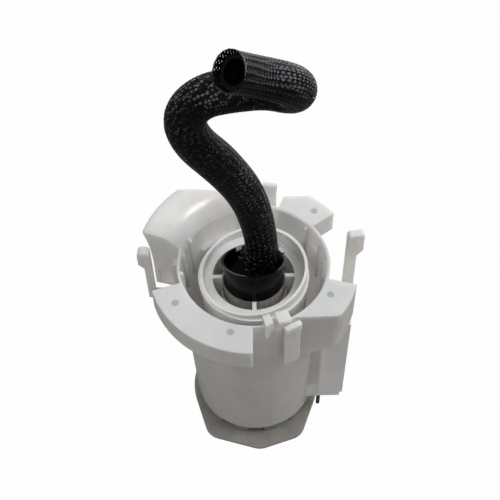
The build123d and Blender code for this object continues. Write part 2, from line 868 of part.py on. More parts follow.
# Plate between the impeller chamber and the motor, with the lower bearing
with BuildPart() as chamber_plate:
    with BuildSketch(Plane.XY.offset(plate_underside)):
        Circle(insert_radius)
        Circle(lower_bearing_radius + running_gap, mode=Mode.SUBTRACT)
        with Locations((0, impeller_radius - channel_width)):
            Circle(nipple_bore / 2, mode=Mode.SUBTRACT)
    extrude(amount=chamber_plate_thickness)
chamber_plate.part.label = "chamber_plate"
export_step(chamber_plate.part, "parts/chamber_plate.step")

with BuildPart() as lower_bearing:
    bearing_bottom = plate_underside + seat_gap
    add(
        tube(
            lower_bearing_radius,
            shaft_radius + running_gap,
            bearing_bottom,
            bearing_bottom + bearing_length,
        )
    )
    add(
        tube(
            lower_bearing_flange,
            shaft_radius + running_gap,
            plate_upper,
            plate_upper + bearing_flange_thickness,
        )
    )
lower_bearing.part.label = "lower_bearing"
export_step(lower_bearing.part, "parts/lower_bearing.step")

# Rotor: shaft, impeller, washer, slotted core, windings and commutator turn together
with BuildPart() as shaft:
    with BuildSketch(Plane.XY.offset(shaft_bottom)):
        Circle(shaft_radius)
    extrude(amount=shaft_length)
    chamfer(shaft.edges().filter_by(GeomType.CIRCLE), shaft_chamfer)
shaft.part.label = "rotor_shaft"
export_step(shaft.part, "parts/rotor_shaft.step")

with BuildPart() as impeller:
    with BuildSketch(Plane.XY.offset(impeller_bottom)):
        Circle(impeller_radius)
        Circle(shaft_radius + running_gap, mode=Mode.SUBTRACT)
        with PolarLocations(impeller_radius - impeller_vane_depth / 2, impeller_vane_count):
            Rectangle(impeller_vane_depth + seat_gap, impeller_vane_width, mode=Mode.SUBTRACT)
    extrude(amount=impeller_thickness)
impeller.part.label = "impeller"
export_step(impeller.part, "parts/impeller.step")

with BuildPart() as washer:
    washer_bottom = bearing_bottom + bearing_length + running_gap
    add(tube(washer_radius, shaft_radius + running_gap, washer_bottom, washer_bottom + washer_thickness))
washer.part.label = "thrust_washer"
export_step(washer.part, "parts/thrust_washer.step")

with BuildPart() as core:
    with BuildSketch(Plane.XY.offset(core_bottom)):
        Circle(core_radius)
        Circle(shaft_radius + running_gap, mode=Mode.SUBTRACT)
        with PolarLocations(core_radius - core_slot_depth / 2, core_slot_count):
            Rectangle(core_slot_depth + seat_gap, core_slot_width, mode=Mode.SUBTRACT)
    extrude(amount=core_length)
core.part.label = "armature_core"
export_step(core.part, "parts/armature_core.step")

with BuildPart() as windings:
    for end_bottom in (core_bottom - winding_height, core_top):
        with BuildSketch(Plane.XY.offset(end_bottom)):
            Circle(winding_radius)
            Circle(winding_inner, mode=Mode.SUBTRACT)
        extrude(amount=winding_height)
    rim_edges = windings.edges().filter_by(GeomType.CIRCLE).group_by(SortBy.RADIUS)[-1].sort_by(Axis.Z)
    fillet([rim_edges[0], rim_edges[-1]], winding_bulge)
    with BuildSketch(Plane.XY.offset(core_bottom - winding_height / 2)):
        with PolarLocations(core_radius - core_slot_depth / 2, core_slot_count):
            Rectangle(core_slot_depth - 4 * winding_slot_gap, core_slot_width - 2 * winding_slot_gap)
        Circle(winding_radius, mode=Mode.INTERSECT)
    extrude(amount=core_length + winding_height)
windings.part.label = "armature_windings"
export_step(windings.part, "parts/armature_windings.step")

with BuildPart() as commutator:
    add(tube(commutator_radius, shaft_radius + running_gap, commutator_bottom, commutator_top))
    with BuildSketch(Plane.XY.offset(commutator_top)):
        with PolarLocations(commutator_radius - commutator_slot_length / 2, commutator_slot_count):
            Rectangle(commutator_slot_length + seat_gap, commutator_slot)
    extrude(amount=-commutator_slot_depth, mode=Mode.SUBTRACT)
commutator.part.label = "commutator"
export_step(commutator.part, "parts/commutator.step")

# Stator: two arc magnets in a flux ring
magnet_bottom = core_bottom - magnet_overhang
magnet_length = core_length + 2 * magnet_overhang
with BuildPart() as magnets:
    for middle in (magnet_angle, magnet_angle + 180):
        extrude(
            ring_piece(
                magnet_inner,
                magnet_outer,
                middle - magnet_span / 2,
                middle + magnet_span / 2,
                magnet_bottom,
            ),
            amount=magnet_length,
        )
magnets.part.label = "stator_magnets"
export_step(magnets.part, "parts/stator_magnets.step")

with BuildPart() as flux_ring:
    add(
        tube(
            insert_radius,
            magnet_outer + running_gap,
            magnet_bottom - flux_ring_wall,
            magnet_bottom + magnet_length + flux_ring_wall,
        )
    )
flux_ring.part.label = "flux_ring"
export_step(flux_ring.part, "parts/flux_ring.step")

# Outlet cover: brush guides, upper bearing seat, relief valve bore and the barbed outlet
brush_bottom = commutator_top + running_gap
brush_top = brush_bottom + brush_length
brush_angles = (brush_angle, brush_angle + 180)
pocket_top = brush_top + brush_spring_length
with BuildPart() as outlet_cover:
    with BuildSketch(Plane.XY.offset(cover_bottom)):
        Circle(insert_radius)
    extrude(amount=cover_thickness)
    add(tube(insert_radius, insert_radius - cover_skirt_wall, cover_bottom - cover_skirt, cover_bottom))
    with BuildSketch(Plane.XY.offset(cover_bottom - cover_hub_drop)):
        Circle(cover_hub_radius)
        with PolarLocations(brush_offset, 2, start_angle=brush_angle):
            Rectangle(
                brush_radial + 2 * (brush_guide_wall + brush_guide_gap),
                brush_tangent + 2 * (brush_guide_wall + brush_guide_gap),
            )
    extrude(amount=cover_hub_drop)
    with BuildSketch(Plane.XY.offset(cover_bottom - cover_hub_drop)):
        with PolarLocations(brush_offset, 2, start_angle=brush_angle):
            Rectangle(brush_radial + 2 * brush_guide_gap, brush_tangent + 2 * brush_guide_gap)
    extrude(amount=pocket_top - cover_bottom + cover_hub_drop, mode=Mode.SUBTRACT)
    with BuildSketch(Plane.XY.offset(cover_bottom - cover_hub_drop)):
        Circle(upper_bearing_radius + running_gap)
    extrude(amount=upper_bearing_top - cover_bottom + cover_hub_drop, mode=Mode.SUBTRACT)
    with BuildSketch(Plane.XY.offset(cover_top)):
        with Locations((outlet_x, outlet_y)):
            Circle(barb_radius - barb_neck)
    extrude(amount=barb_height)
    for step in range(barb_ridge_count):
        ridge_bottom = cover_top + barb_height - (step + 1) * barb_ridge
        with BuildSketch(Plane.XY.offset(ridge_bottom)):
            with Locations((outlet_x, outlet_y)):
                Circle(barb_radius)
        extrude(amount=barb_ridge_length)
    with BuildSketch(Plane.XY.offset(cover_top)):
        with Locations((outlet_x, outlet_y)):
            Circle(barb_bore)
    extrude(amount=barb_height, mode=Mode.SUBTRACT)
    with BuildSketch(Plane.XY.offset(cover_bottom)):
        with Locations((outlet_x, outlet_y)):
            Circle(seat_bore)
        with Locations((relief_x, relief_y)):
            Circle(relief_seat_bore)
    extrude(amount=cover_thickness, mode=Mode.SUBTRACT)
    with BuildSketch(Plane.XY.offset(cover_bottom + relief_seat_depth)):
        with Locations((relief_x, relief_y)):
            Circle(relief_bore)
    extrude(amount=cover_thickness - relief_seat_depth, mode=Mode.SUBTRACT)
outlet_cover.part.label = "outlet_cover"
export_step(outlet_cover.part, "parts/outlet_cover.step")

with BuildPart() as upper_bearing:
    add(
        tube(
            upper_bearing_radius,
            shaft_radius + running_gap,
            upper_bearing_top - bearing_length,
            upper_bearing_top,
        )
    )
upper_bearing.part.label = "upper_bearing"
export_step(upper_bearing.part, "parts/upper_bearing.step")


def brush_block(angle, bottom, top):
    """Carbon brush that slides in its guide."""
    with BuildPart() as block:
        with BuildSketch(Plane.XY.offset(bottom)):
            with PolarLocations(brush_offset, 1, start_angle=angle):
                Rectangle(brush_radial, brush_tangent)
        extrude(amount=top - bottom)
    return block


for brush_name, angle in zip(("left", "right"), brush_angles):
    brush = brush_block(angle, brush_bottom, brush_top)
    brush.part.label = "brush_" + brush_name
    export_step(brush.part, "parts/brush_" + brush_name + ".step")
    spring_place = (brush_offset * cos(radians(angle)), brush_offset * sin(radians(angle)))
    with BuildPart() as brush_spring:
        add(
            tube(
                brush_spring_radius,
                brush_spring_radius - valve_spring_wall,
                brush_top,
                pocket_top,
                spring_place,
            )
        )
    brush_spring.part.label = "brush_spring_" + brush_name
    export_step(brush_spring.part, "parts/brush_spring_" + brush_name + ".step")

with BuildPart() as terminals:
    for angle in terminal_angles:
        with PolarLocations(terminal_offset, 1, start_angle=angle):
            with Locations((0, 0, cover_top + terminal_height / 2)):
                Box(terminal_thickness, terminal_width, terminal_height)
    fillet(terminals.edges().filter_by(Axis.Z), terminal_fillet)
terminals.part.label = "pump_terminals"
export_step(terminals.part, "parts/pump_terminals.step")

# Check valve in the outlet: plunger, spring and retainer
plunger_top = cover_top + plunger_length
retainer_bottom = plunger_top + valve_spring_length
with BuildPart() as plunger:
    with BuildSketch(Plane.XY.offset(cover_top)):
        with Locations((outlet_x, outlet_y)):
            Circle(plunger_radius)
    extrude(amount=plunger_length)
    with BuildSketch(Plane.XY.offset(cover_top)):
        with Locations((outlet_x, outlet_y)):
            Circle(seat_bore - plunger_nose_gap)
    extrude(amount=-plunger_nose)
    fillet(plunger.edges().filter_by(GeomType.CIRCLE).group_by(Axis.Z)[0], plunger_nose_gap)
plunger.part.label = "check_plunger"
export_step(plunger.part, "parts/check_plunger.step")

with BuildPart() as check_spring:
    add(
        tube(
            plunger_radius,
            plunger_radius - valve_spring_wall,
            plunger_top,
            retainer_bottom,
            (outlet_x, outlet_y),
        )
    )
check_spring.part.label = "check_spring"
export_step(check_spring.part, "parts/check_spring.step")

with BuildPart() as retainer:
    add(
        tube(
            barb_bore - running_gap,
            retainer_hole,
            retainer_bottom,
            retainer_bottom + retainer_thickness,
            (outlet_x, outlet_y),
        )
    )
retainer.part.label = "check_retainer"
export_step(retainer.part, "parts/check_retainer.step")

# Relief valve: ball, spring and plug
relief_seat_height = cover_bottom + relief_seat_depth
ball_centre = relief_seat_height + sqrt(relief_ball_radius**2 - relief_seat_bore**2) + running_gap
ball_top = ball_centre + relief_ball_radius
with BuildPart() as relief_ball:
    with Locations((relief_x, relief_y, ball_centre)):
        Sphere(relief_ball_radius)
relief_ball.part.label = "relief_ball"
export_step(relief_ball.part, "parts/relief_ball.step")

with BuildPart() as relief_spring:
    add(
        tube(
            relief_spring_radius,
            relief_spring_radius - relief_spring_wall,
            ball_top + running_gap,
            cover_top - relief_plug_thickness,
            (relief_x, relief_y),
        )
    )
relief_spring.part.label = "relief_spring"
export_step(relief_spring.part, "parts/relief_spring.step")

with BuildPart() as relief_plug:
    add(
        tube(
            relief_bore - running_gap,
            relief_plug_hole,
            cover_top - relief_plug_thickness,
            cover_top,
            (relief_x, relief_y),
        )
    )
relief_plug.part.label = "relief_plug"
export_step(relief_plug.part, "parts/relief_plug.step")

# Black cap over the pump's outlet, cut off at a slant, with a notch beside its ear
cap_middle = cap_bottom + (cap_front_height + cap_back_height) / 2
cap_slope = (cap_front_height - cap_back_height) / 2 / cap_radius
with BuildPart() as cap:
    with BuildSketch(Plane.XY.offset(cap_bottom)):
        Circle(cap_radius)
    extrude(amount=cap_front_height)
    with BuildSketch(Plane.XY.offset(cap_bottom + cap_floor)):
        Circle(cap_radius - cap_wall)
    extrude(amount=cap_front_height, mode=Mode.SUBTRACT)
    split(bisect_by=Plane((0, 0, cap_middle), z_dir=(0, cap_slope, 1)), keep=Keep.BOTTOM)
    with PolarLocations(cap_radius, 1, start_angle=cap_notch_angle):
        with Locations((0, 0, cap_bottom + 2 * cap_floor + cap_front_height / 2)):
            Box(4 * cap_wall, cap_notch_width, cap_front_height, mode=Mode.SUBTRACT)
    with BuildSketch(Plane.XY.offset(cap_bottom)):
        with Locations((outlet_x, outlet_y)):
            Circle(hose_radius + cap_hole_gap)
    extrude(amount=cap_floor, mode=Mode.SUBTRACT)
cap.part.label = "pump_cap"
export_step(cap.part, "parts/pump_cap.step")

# Intake filter on the pump's nipple: frame and mesh
filter_top = can_bottom - nipple_length
with BuildPart() as filter_frame:
    with BuildSketch(Plane.XY.offset(filter_bottom)):
        Circle(filter_radius)
    extrude(amount=filter_disc)
    with BuildSketch(Plane.XY.offset(filter_top - filter_disc)):
        Circle(filter_radius)
        with Locations((0, -nipple_offset)):
            Circle(nipple_bore, mode=Mode.SUBTRACT)
    extrude(amount=filter_disc)
    with BuildSketch(Plane.XY.offset(filter_bottom)):
        with PolarLocations(filter_radius - filter_mesh_wall - 2 * filter_post_radius, filter_post_count):
            Circle(filter_post_radius)
    extrude(amount=filter_top - filter_bottom)
    hub_inner = nipple_radius + seat_gap
    hub_top = can_bottom - filter_hub_wall
    add(tube(hub_inner + filter_hub_wall, hub_inner, filter_top, hub_top, (0, -nipple_offset)))
filter_frame.part.label = "filter_frame"
export_step(filter_frame.part, "parts/filter_frame.step")

with BuildPart() as filter_mesh:
    add(
        tube(
            filter_radius,
            filter_radius - filter_mesh_wall,
            filter_bottom + filter_disc,
            filter_top - filter_disc,
        )
    )
filter_mesh.part.label = "filter_mesh"
export_step(filter_mesh.part, "parts/filter_mesh.step")

# Sender plate in its rails, with the resistor card and the guide pin
plate_back = plate_y + plate_thickness / 2
with BuildPart() as sender_plate:
    with BuildSketch(Plane.XZ.offset(-plate_back)):
        with BuildLine():
            Polyline(
                (plate_left, plate_ledge),
                (plate_left + rail_reach + rail_gap, plate_ledge),
                (plate_left + rail_reach + rail_gap, plate_bottom),
                (plate_right - rail_reach, plate_bottom),
                (plate_right - rail_reach, plate_bottom + plate_foot_step),
                (plate_right, plate_bottom + plate_foot_step),
                (plate_right, plate_shoulder),
                (plate_tab_right, plate_shoulder),
                (plate_tab_right, plate_top),
                (plate_left, plate_top),
                close=True,
            )
        make_face()
    extrude(amount=plate_thickness)
    with Locations(
        (
            plate_right - plate_return_wall / 2,
            plate_back + plate_return / 2,
            (plate_return_low + plate_return_high) / 2,
        )
    ):
        Box(plate_return_wall, plate_return, plate_return_high - plate_return_low)
    with Locations((pin_x, plate_back + lug_size / 2, lug_bottom + lug_height / 2)):
        Box(lug_size, lug_size, lug_height)
    with Locations((pin_x, plate_back + lug_size / 2, lug_bottom + lug_height / 2)):
        Cylinder(pin_radius + pin_gap, lug_height, mode=Mode.SUBTRACT)
sender_plate.part.label = "sender_plate"
export_step(sender_plate.part, "parts/sender_plate.step")

with BuildPart() as card:
    card_middle = card_bottom + card_height / 2
    with Locations((card_left + card_width / 2, plate_back + card_thickness / 2, card_middle)):
        Box(card_width, card_thickness, card_height)
    track_pitch = card_width / (card_track_count + 1)
    for track in range(card_track_count):
        with Locations(
            (
                card_left + (track + 1) * track_pitch,
                plate_back + card_thickness,
                card_middle,
            )
        ):
            Box(track_pitch / 2, card_track_relief, card_track_height)
card.part.label = "resistor_card"
export_step(card.part, "parts/resistor_card.step")

with BuildPart() as guide_pin:
    with Locations((pin_x, plate_back + lug_size / 2, (pin_bottom + lug_bottom + lug_height) / 2)):
        Cylinder(pin_radius, lug_bottom + lug_height - pin_bottom)
    fillet(guide_pin.edges().group_by(Axis.Z)[0], pin_fillet)
guide_pin.part.label = "guide_pin"
export_step(guide_pin.part, "parts/guide_pin.step")

# Outlet hose with a plain cuff at its mouth, its clamp and its braided sleeve


def corner_radii(route):
    """Arc radius at each inner point of a route, from the shorter run beside it and half the turn."""
    points = [Vector(*point) for point in route]
    radii = []
    for before, corner, after in zip(points, points[1:], points[2:]):
        turn = (corner - before).get_angle(after - corner)
        shorter = min((corner - before).length, (after - corner).length)
        radii.append(arc_share * shorter / tan(radians(turn / 2)))
    return radii


route_radii = corner_radii(hose_route)
print("hose corner radii", [round(radius, 1) for radius in route_radii])
mouth = Vector(*hose_route[-1])
mouth_axis = (mouth - Vector(*hose_route[-2])).normalized()


def hose_tube(start_height, end_cut, outer, inner):
    """Tube along the hose's route, from a height on its first run to a distance short of the mouth."""
    start = (hose_route[0][0], hose_route[0][1], start_height)
    route = [start] + hose_route[1:-1] + [mouth - mouth_axis * end_cut]
    with BuildPart() as body:
        with BuildLine() as path:
            FilletPolyline(*route, radius=route_radii)
        with BuildSketch(Plane((route[0][0], route[0][1], start_height), z_dir=(0, 0, 1))):
            Circle(outer)
            Circle(inner, mode=Mode.SUBTRACT)
        sweep(path=path.wires()[0])
    length = path.wires()[0].length
    section = pi * (outer**2 - inner**2)
    share = body.part.volume / (section * length)
    print("tube length", round(length, 1), "volume share", round(share, 4))
    return body


hose = hose_tube(hose_bottom, cuff_length, hose_radius, hose_bore)
hose.part.label = "outlet_hose"
export_step(hose.part, "parts/outlet_hose.step")

with BuildPart() as cuff:
    with BuildSketch(Plane(mouth, z_dir=mouth_axis)):
        Circle(cuff_radius)
        Circle(hose_bore, mode=Mode.SUBTRACT)
    extrude(amount=-cuff_length)
cuff.part.label = "hose_cuff"
export_step(cuff.part, "parts/hose_cuff.step")

sleeve = hose_tube(sleeve_start, 0, sleeve_radius, hose_radius + seat_gap)
sleeve.part.label = "hose_sleeve"
export_step(sleeve.part, "parts/hose_sleeve.step")

with BuildPart() as clamp:
    clamp_inner = hose_radius + running_gap
    clamp_top = clamp_bottom + clamp_band
    add(tube(clamp_inner + clamp_wall, clamp_inner, clamp_bottom, clamp_top, (outlet_x, outlet_y)))
    ear_reach = (clamp_inner + clamp_wall + clamp_ear / 2 - running_gap) / sqrt(2)
    with Locations(
        Location((outlet_x - ear_reach, outlet_y - ear_reach, clamp_bottom + clamp_band / 2), (0, 0, 45))
    ):
        Box(clamp_ear, clamp_ear, clamp_band)
clamp.part.label = "hose_clamp"
export_step(clamp.part, "parts/hose_clamp.step")
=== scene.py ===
"""Looks of an in-tank fuel pump module: milky mouldings, a black cap and a braided outlet hose.

Everything is in metres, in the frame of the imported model: +Z up, -Y towards the viewer.
"""

import json
import logging
from dataclasses import dataclass, field
from enum import Enum
from math import cos, exp, pi, radians, sin, tau
from random import Random

import bpy
import numpy as np
from mathutils import Matrix, Vector


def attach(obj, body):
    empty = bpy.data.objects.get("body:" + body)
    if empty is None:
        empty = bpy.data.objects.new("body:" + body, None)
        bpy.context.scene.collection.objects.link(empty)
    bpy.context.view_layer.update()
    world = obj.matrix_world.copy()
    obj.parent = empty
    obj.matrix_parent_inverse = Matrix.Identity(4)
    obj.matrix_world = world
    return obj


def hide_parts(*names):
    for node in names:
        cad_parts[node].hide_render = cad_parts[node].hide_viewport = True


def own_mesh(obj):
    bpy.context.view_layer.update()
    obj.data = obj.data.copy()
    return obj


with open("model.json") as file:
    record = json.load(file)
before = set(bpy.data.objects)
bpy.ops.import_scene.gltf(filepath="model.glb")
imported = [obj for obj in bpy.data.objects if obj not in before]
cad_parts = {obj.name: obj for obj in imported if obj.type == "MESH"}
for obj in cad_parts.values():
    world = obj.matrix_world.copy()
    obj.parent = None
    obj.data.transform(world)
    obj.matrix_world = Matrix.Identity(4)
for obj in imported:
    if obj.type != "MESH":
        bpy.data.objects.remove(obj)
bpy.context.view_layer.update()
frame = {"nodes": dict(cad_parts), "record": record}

LOG = logging.getLogger("fuel_pump_module")
MM = 0.001
ROOT_BODY = "module"
MARK_PLACES = (
    (-0.0514, -0.0312, 0.1648),
    (-0.0159, -0.0543, 0.1648),
    (0.0497, -0.0273, 0.1648),
    (0.0432, 0.0435, 0.1648),
)

Colour = tuple[float, float, float]
Point = tuple[float, float, float]
MARK_COLOUR: Colour = (0.42, 0.45, 0.46)


class Hand(Enum):
    """Which way a strand winds round the hose."""

    RIGHT = 1
    LEFT = -1


class NodeSheet:
    """Adds, sets and links the nodes of one shader tree."""

    def __init__(self, tree: bpy.types.NodeTree) -> None:
        """Starts on a node tree.

        Args:
            tree: the tree that the nodes go into.
        """
        self.tree = tree

    def add(self, kind: str, settings: dict | None = None, **inputs: object) -> bpy.types.Node:
        """Adds a node.

        Args:
            kind: the node's type name.
            settings: attributes of the node, by name.
            **inputs: values or output sockets for its inputs; an underscore stands for a space.

        Returns:
            The new node.
        """
        node = self.tree.nodes.new(kind)
        for key, value in (settings or {}).items():
            setattr(node, key, value)
        for key, value in inputs.items():
            self.feed(node.inputs[key.replace("_", " ")], value)
        return node

    def feed(self, socket: bpy.types.NodeSocket, value: object) -> None:
        """Links or sets one input.

        Args:
            socket: the input.
            value: an output socket, a number, or a colour or vector.
        """
        if isinstance(value, bpy.types.NodeSocket):
            self.tree.links.new(value, socket)
        elif isinstance(value, (int, float)):
            socket.default_value = value
        else:
            size = len(socket.default_value)
            socket.default_value = (tuple(value) + (1.0,))[:size]

    def math(self, operation: str, first: object, second: object = 0.0) -> bpy.types.NodeSocket:
        """Adds a Math node.

        Args:
            operation: its operation.
            first: its first input.
            second: its second input.

        Returns:
            Its output.
        """
        node = self.add("ShaderNodeMath", {"operation": operation})
        self.feed(node.inputs[0], first)
        self.feed(node.inputs[1], second)
        return node.outputs[0]

    def mix(self, share: object, first: object, second: object) -> bpy.types.NodeSocket:
        """Mixes two colours.

        Args:
            share: how much of the second, from 0 to 1.
            first: the first colour.
            second: the second colour.

        Returns:
            The mixed colour.
        """
        node = self.add("ShaderNodeMix", {"data_type": "RGBA"})
        self.feed(node.inputs[0], share)
        self.feed(node.inputs[6], first)
        self.feed(node.inputs[7], second)
        return node.outputs[2]

    def ramp(self, value: object, low: float, high: float) -> bpy.types.NodeSocket:
        """Stretches a value from low..high to 0..1, held at both ends.

        Args:
            value: the value.
            low: what becomes 0.
            high: what becomes 1.

        Returns:
            The stretched value.
        """
        node = self.add("ShaderNodeMapRange", {"clamp": True})
        self.feed(node.inputs["Value"], value)
        node.inputs["From Min"].default_value = low
        node.inputs["From Max"].default_value = high
        return node.outputs["Result"]

    def coordinates(self, kind: str = "Object") -> bpy.types.NodeSocket:
        """Adds texture coordinates.

        Args:
            kind: which of them.

        Returns:
            The coordinates.
        """
        return self.add("ShaderNodeTexCoord").outputs[kind]

    def axes(self, vector: object) -> bpy.types.bpy_prop_collection:
        """Splits a vector.

        Args:
            vector: the vector.

        Returns:
            Its X, Y and Z outputs.
        """
        return self.add("ShaderNodeSeparateXYZ", {}, Vector=vector).outputs

    def upward(self) -> bpy.types.NodeSocket:
        """Reads how far the surface faces up.

        Returns:
            1 where it faces straight up and -1 where it faces down.
        """
        return self.axes(self.add("ShaderNodeNewGeometry").outputs["Normal"])["Z"]

    def noise(self, vector: object, scale: object, detail: float = 3.0) -> bpy.types.NodeSocket:
        """Adds plain noise.

        Args:
            vector: the coordinates.
            scale: its scale.
            detail: its detail.

        Returns:
            The noise's value.
        """
        node = self.add("ShaderNodeTexNoise", {}, Vector=vector, Scale=scale, Detail=detail)
        return node.outputs[0]


def effect_group(
    name: str, inputs: dict[str, tuple[str, object]], outputs: dict[str, str]
) -> tuple[NodeSheet, bpy.types.Node, bpy.types.Node]:
    """Starts a shader node group for an effect that several materials share.

    Args:
        name: the group's name.
        inputs: socket kind and default value of each input, by name.
        outputs: socket kind of each output, by name.

    Returns:
        The group's sheet, its input node and its output node.
    """
    tree = bpy.data.node_groups.new(name, "ShaderNodeTree")
    for key, (kind, value) in inputs.items():
        socket = tree.interface.new_socket(key, in_out="INPUT", socket_type=kind)
        socket.default_value = (tuple(value) + (1.0,))[:4] if kind == "NodeSocketColor" else value
    for key, kind in outputs.items():
        tree.interface.new_socket(key, in_out="OUTPUT", socket_type=kind)
    sheet = NodeSheet(tree)
    return sheet, sheet.add("NodeGroupInput"), sheet.add("NodeGroupOutput")


def moulded_group() -> bpy.types.NodeTree:
    """Builds the look of moulded plastic: cloudy colour, flow marks, settled dust and fine grain.

    Returns:
        The node group, with outputs Color, Roughness and Height.
    """
    sheet, source, sink = effect_group(
        "moulded_surface",
        {
            "Base": ("NodeSocketColor", (0.8, 0.8, 0.8)),
            "Shade": ("NodeSocketColor", (0.6, 0.6, 0.6)),
            "Cloud Scale": ("NodeSocketFloat", 40.0),
            "Cloud Share": ("NodeSocketFloat", 0.5),
            "Dust": ("NodeSocketFloat", 0.1),
            "Roughness": ("NodeSocketFloat", 0.4),
            "Grain Scale": ("NodeSocketFloat", 900.0),
        },
        {"Color": "NodeSocketColor", "Roughness": "NodeSocketFloat", "Height": "NodeSocketFloat"},
    )
    place = sheet.coordinates()
    cloud = sheet.noise(place, source.outputs["Cloud Scale"], 4.0)
    stretched = sheet.add("ShaderNodeMapping", {}, Vector=place, Scale=(30.0, 30.0, 4.0)).outputs[0]
    flow = sheet.noise(stretched, 6.0, 2.0)
    share = sheet.math("MULTIPLY", sheet.ramp(cloud, 0.35, 0.68), source.outputs["Cloud Share"])
    flow_share = sheet.math("MULTIPLY", sheet.ramp(flow, 0.45, 0.75), source.outputs["Cloud Share"])
    added = sheet.math("ADD", share, sheet.math("MULTIPLY", flow_share, 0.4))
    either = sheet.math("MINIMUM", added, 1.0)
    tinted = sheet.mix(either, source.outputs["Base"], source.outputs["Shade"])
    speck = sheet.ramp(sheet.noise(place, 700.0, 2.0), 0.56, 0.72)
    settled = sheet.math("MULTIPLY", sheet.ramp(sheet.upward(), 0.2, 0.9), speck)
    dust = sheet.math("MULTIPLY", settled, source.outputs["Dust"])
    sheet.feed(sink.inputs["Color"], sheet.mix(dust, tinted, (0.55, 0.53, 0.50)))
    grain = sheet.noise(place, source.outputs["Grain Scale"], 3.0)
    uneven = sheet.math("MULTIPLY", sheet.math("SUBTRACT", cloud, 0.5), 0.25)
    wear = sheet.math("ADD", sheet.math("ADD", source.outputs["Roughness"], uneven), dust)
    sheet.feed(sink.inputs["Roughness"], sheet.math("MAXIMUM", wear, 0.05))
    slow = sheet.math("MULTIPLY", sheet.noise(place, 120.0, 2.0), 1.6)
    sheet.feed(sink.inputs["Height"], sheet.math("ADD", grain, slow))
    return sheet.tree


def metal_group() -> bpy.types.NodeTree:
    """Builds the look of worked metal: drawn streaks, tarnish and small scratches.

    Returns:
        The node group, with outputs Color, Roughness and Height.
    """
    sheet, source, sink = effect_group(
        "worked_metal",
        {
            "Base": ("NodeSocketColor", (0.6, 0.6, 0.6)),
            "Tarnish": ("NodeSocketColor", (0.3, 0.28, 0.25)),
            "Tarnish Share": ("NodeSocketFloat", 0.3),
            "Roughness": ("NodeSocketFloat", 0.3),
            "Streak Scale": ("NodeSocketFloat", 60.0),
        },
        {"Color": "NodeSocketColor", "Roughness": "NodeSocketFloat", "Height": "NodeSocketFloat"},
    )
    place = sheet.coordinates()
    stretched = sheet.add("ShaderNodeMapping", {}, Vector=place, Scale=(1.0, 1.0, 25.0)).outputs[0]
    streak = sheet.noise(stretched, source.outputs["Streak Scale"], 4.0)
    patch = sheet.ramp(sheet.noise(place, 180.0, 5.0), 0.5, 0.75)
    share = sheet.math("MULTIPLY", patch, source.outputs["Tarnish Share"])
    sheet.feed(sink.inputs["Color"], sheet.mix(share, source.outputs["Base"], source.outputs["Tarnish"]))
    uneven = sheet.math("MULTIPLY", sheet.math("ADD", streak, share), 0.25)
    sheet.feed(sink.inputs["Roughness"], sheet.math("ADD", source.outputs["Roughness"], uneven))
    sheet.feed(sink.inputs["Height"], streak)
    return sheet.tree


def grainy_group() -> bpy.types.NodeTree:
    """Builds the look of rubber, carbon and cloth: coarse speckle over a fine crumb.

    Returns:
        The node group, with outputs Color, Roughness and Height.
    """
    sheet, source, sink = effect_group(
        "grainy_surface",
        {
            "Base": ("NodeSocketColor", (0.2, 0.2, 0.2)),
            "Fleck": ("NodeSocketColor", (0.4, 0.4, 0.4)),
            "Fleck Scale": ("NodeSocketFloat", 900.0),
            "Fleck Share": ("NodeSocketFloat", 0.5),
            "Roughness": ("NodeSocketFloat", 0.7),
        },
        {"Color": "NodeSocketColor", "Roughness": "NodeSocketFloat", "Height": "NodeSocketFloat"},
    )
    place = sheet.coordinates()
    fleck = sheet.ramp(sheet.noise(place, source.outputs["Fleck Scale"], 4.0), 0.45, 0.62)
    share = sheet.math("MULTIPLY", fleck, source.outputs["Fleck Share"])
    sheet.feed(sink.inputs["Color"], sheet.mix(share, source.outputs["Base"], source.outputs["Fleck"]))
    uneven = sheet.math("MULTIPLY", sheet.noise(place, 90.0, 3.0), 0.2)
    sheet.feed(sink.inputs["Roughness"], sheet.math("ADD", source.outputs["Roughness"], uneven))
    sheet.feed(sink.inputs["Height"], fleck)
    return sheet.tree


def marks_group() -> bpy.types.NodeTree:
    """Builds a mask of the round moulding marks on top of the collar.

    Returns:
        The node group, with output Mask: 1 on a mark and 0 elsewhere.
    """
    sheet, _, sink = effect_group("moulding_marks", {}, {"Mask": "NodeSocketFloat"})
    place = sheet.coordinates()
    nearest = None
    for centre in MARK_PLACES:
        gap = sheet.add("ShaderNodeVectorMath", {"operation": "DISTANCE"})
        sheet.feed(gap.inputs[0], place)
        sheet.feed(gap.inputs[1], centre)
        reach = gap.outputs["Value"]
        nearest = reach if nearest is None else sheet.math("MINIMUM", nearest, reach)
    mask = sheet.math("SUBTRACT", 1.0, sheet.ramp(nearest, 0.0021, 0.0026))
    sheet.feed(sink.inputs["Mask"], mask)
    return sheet.tree


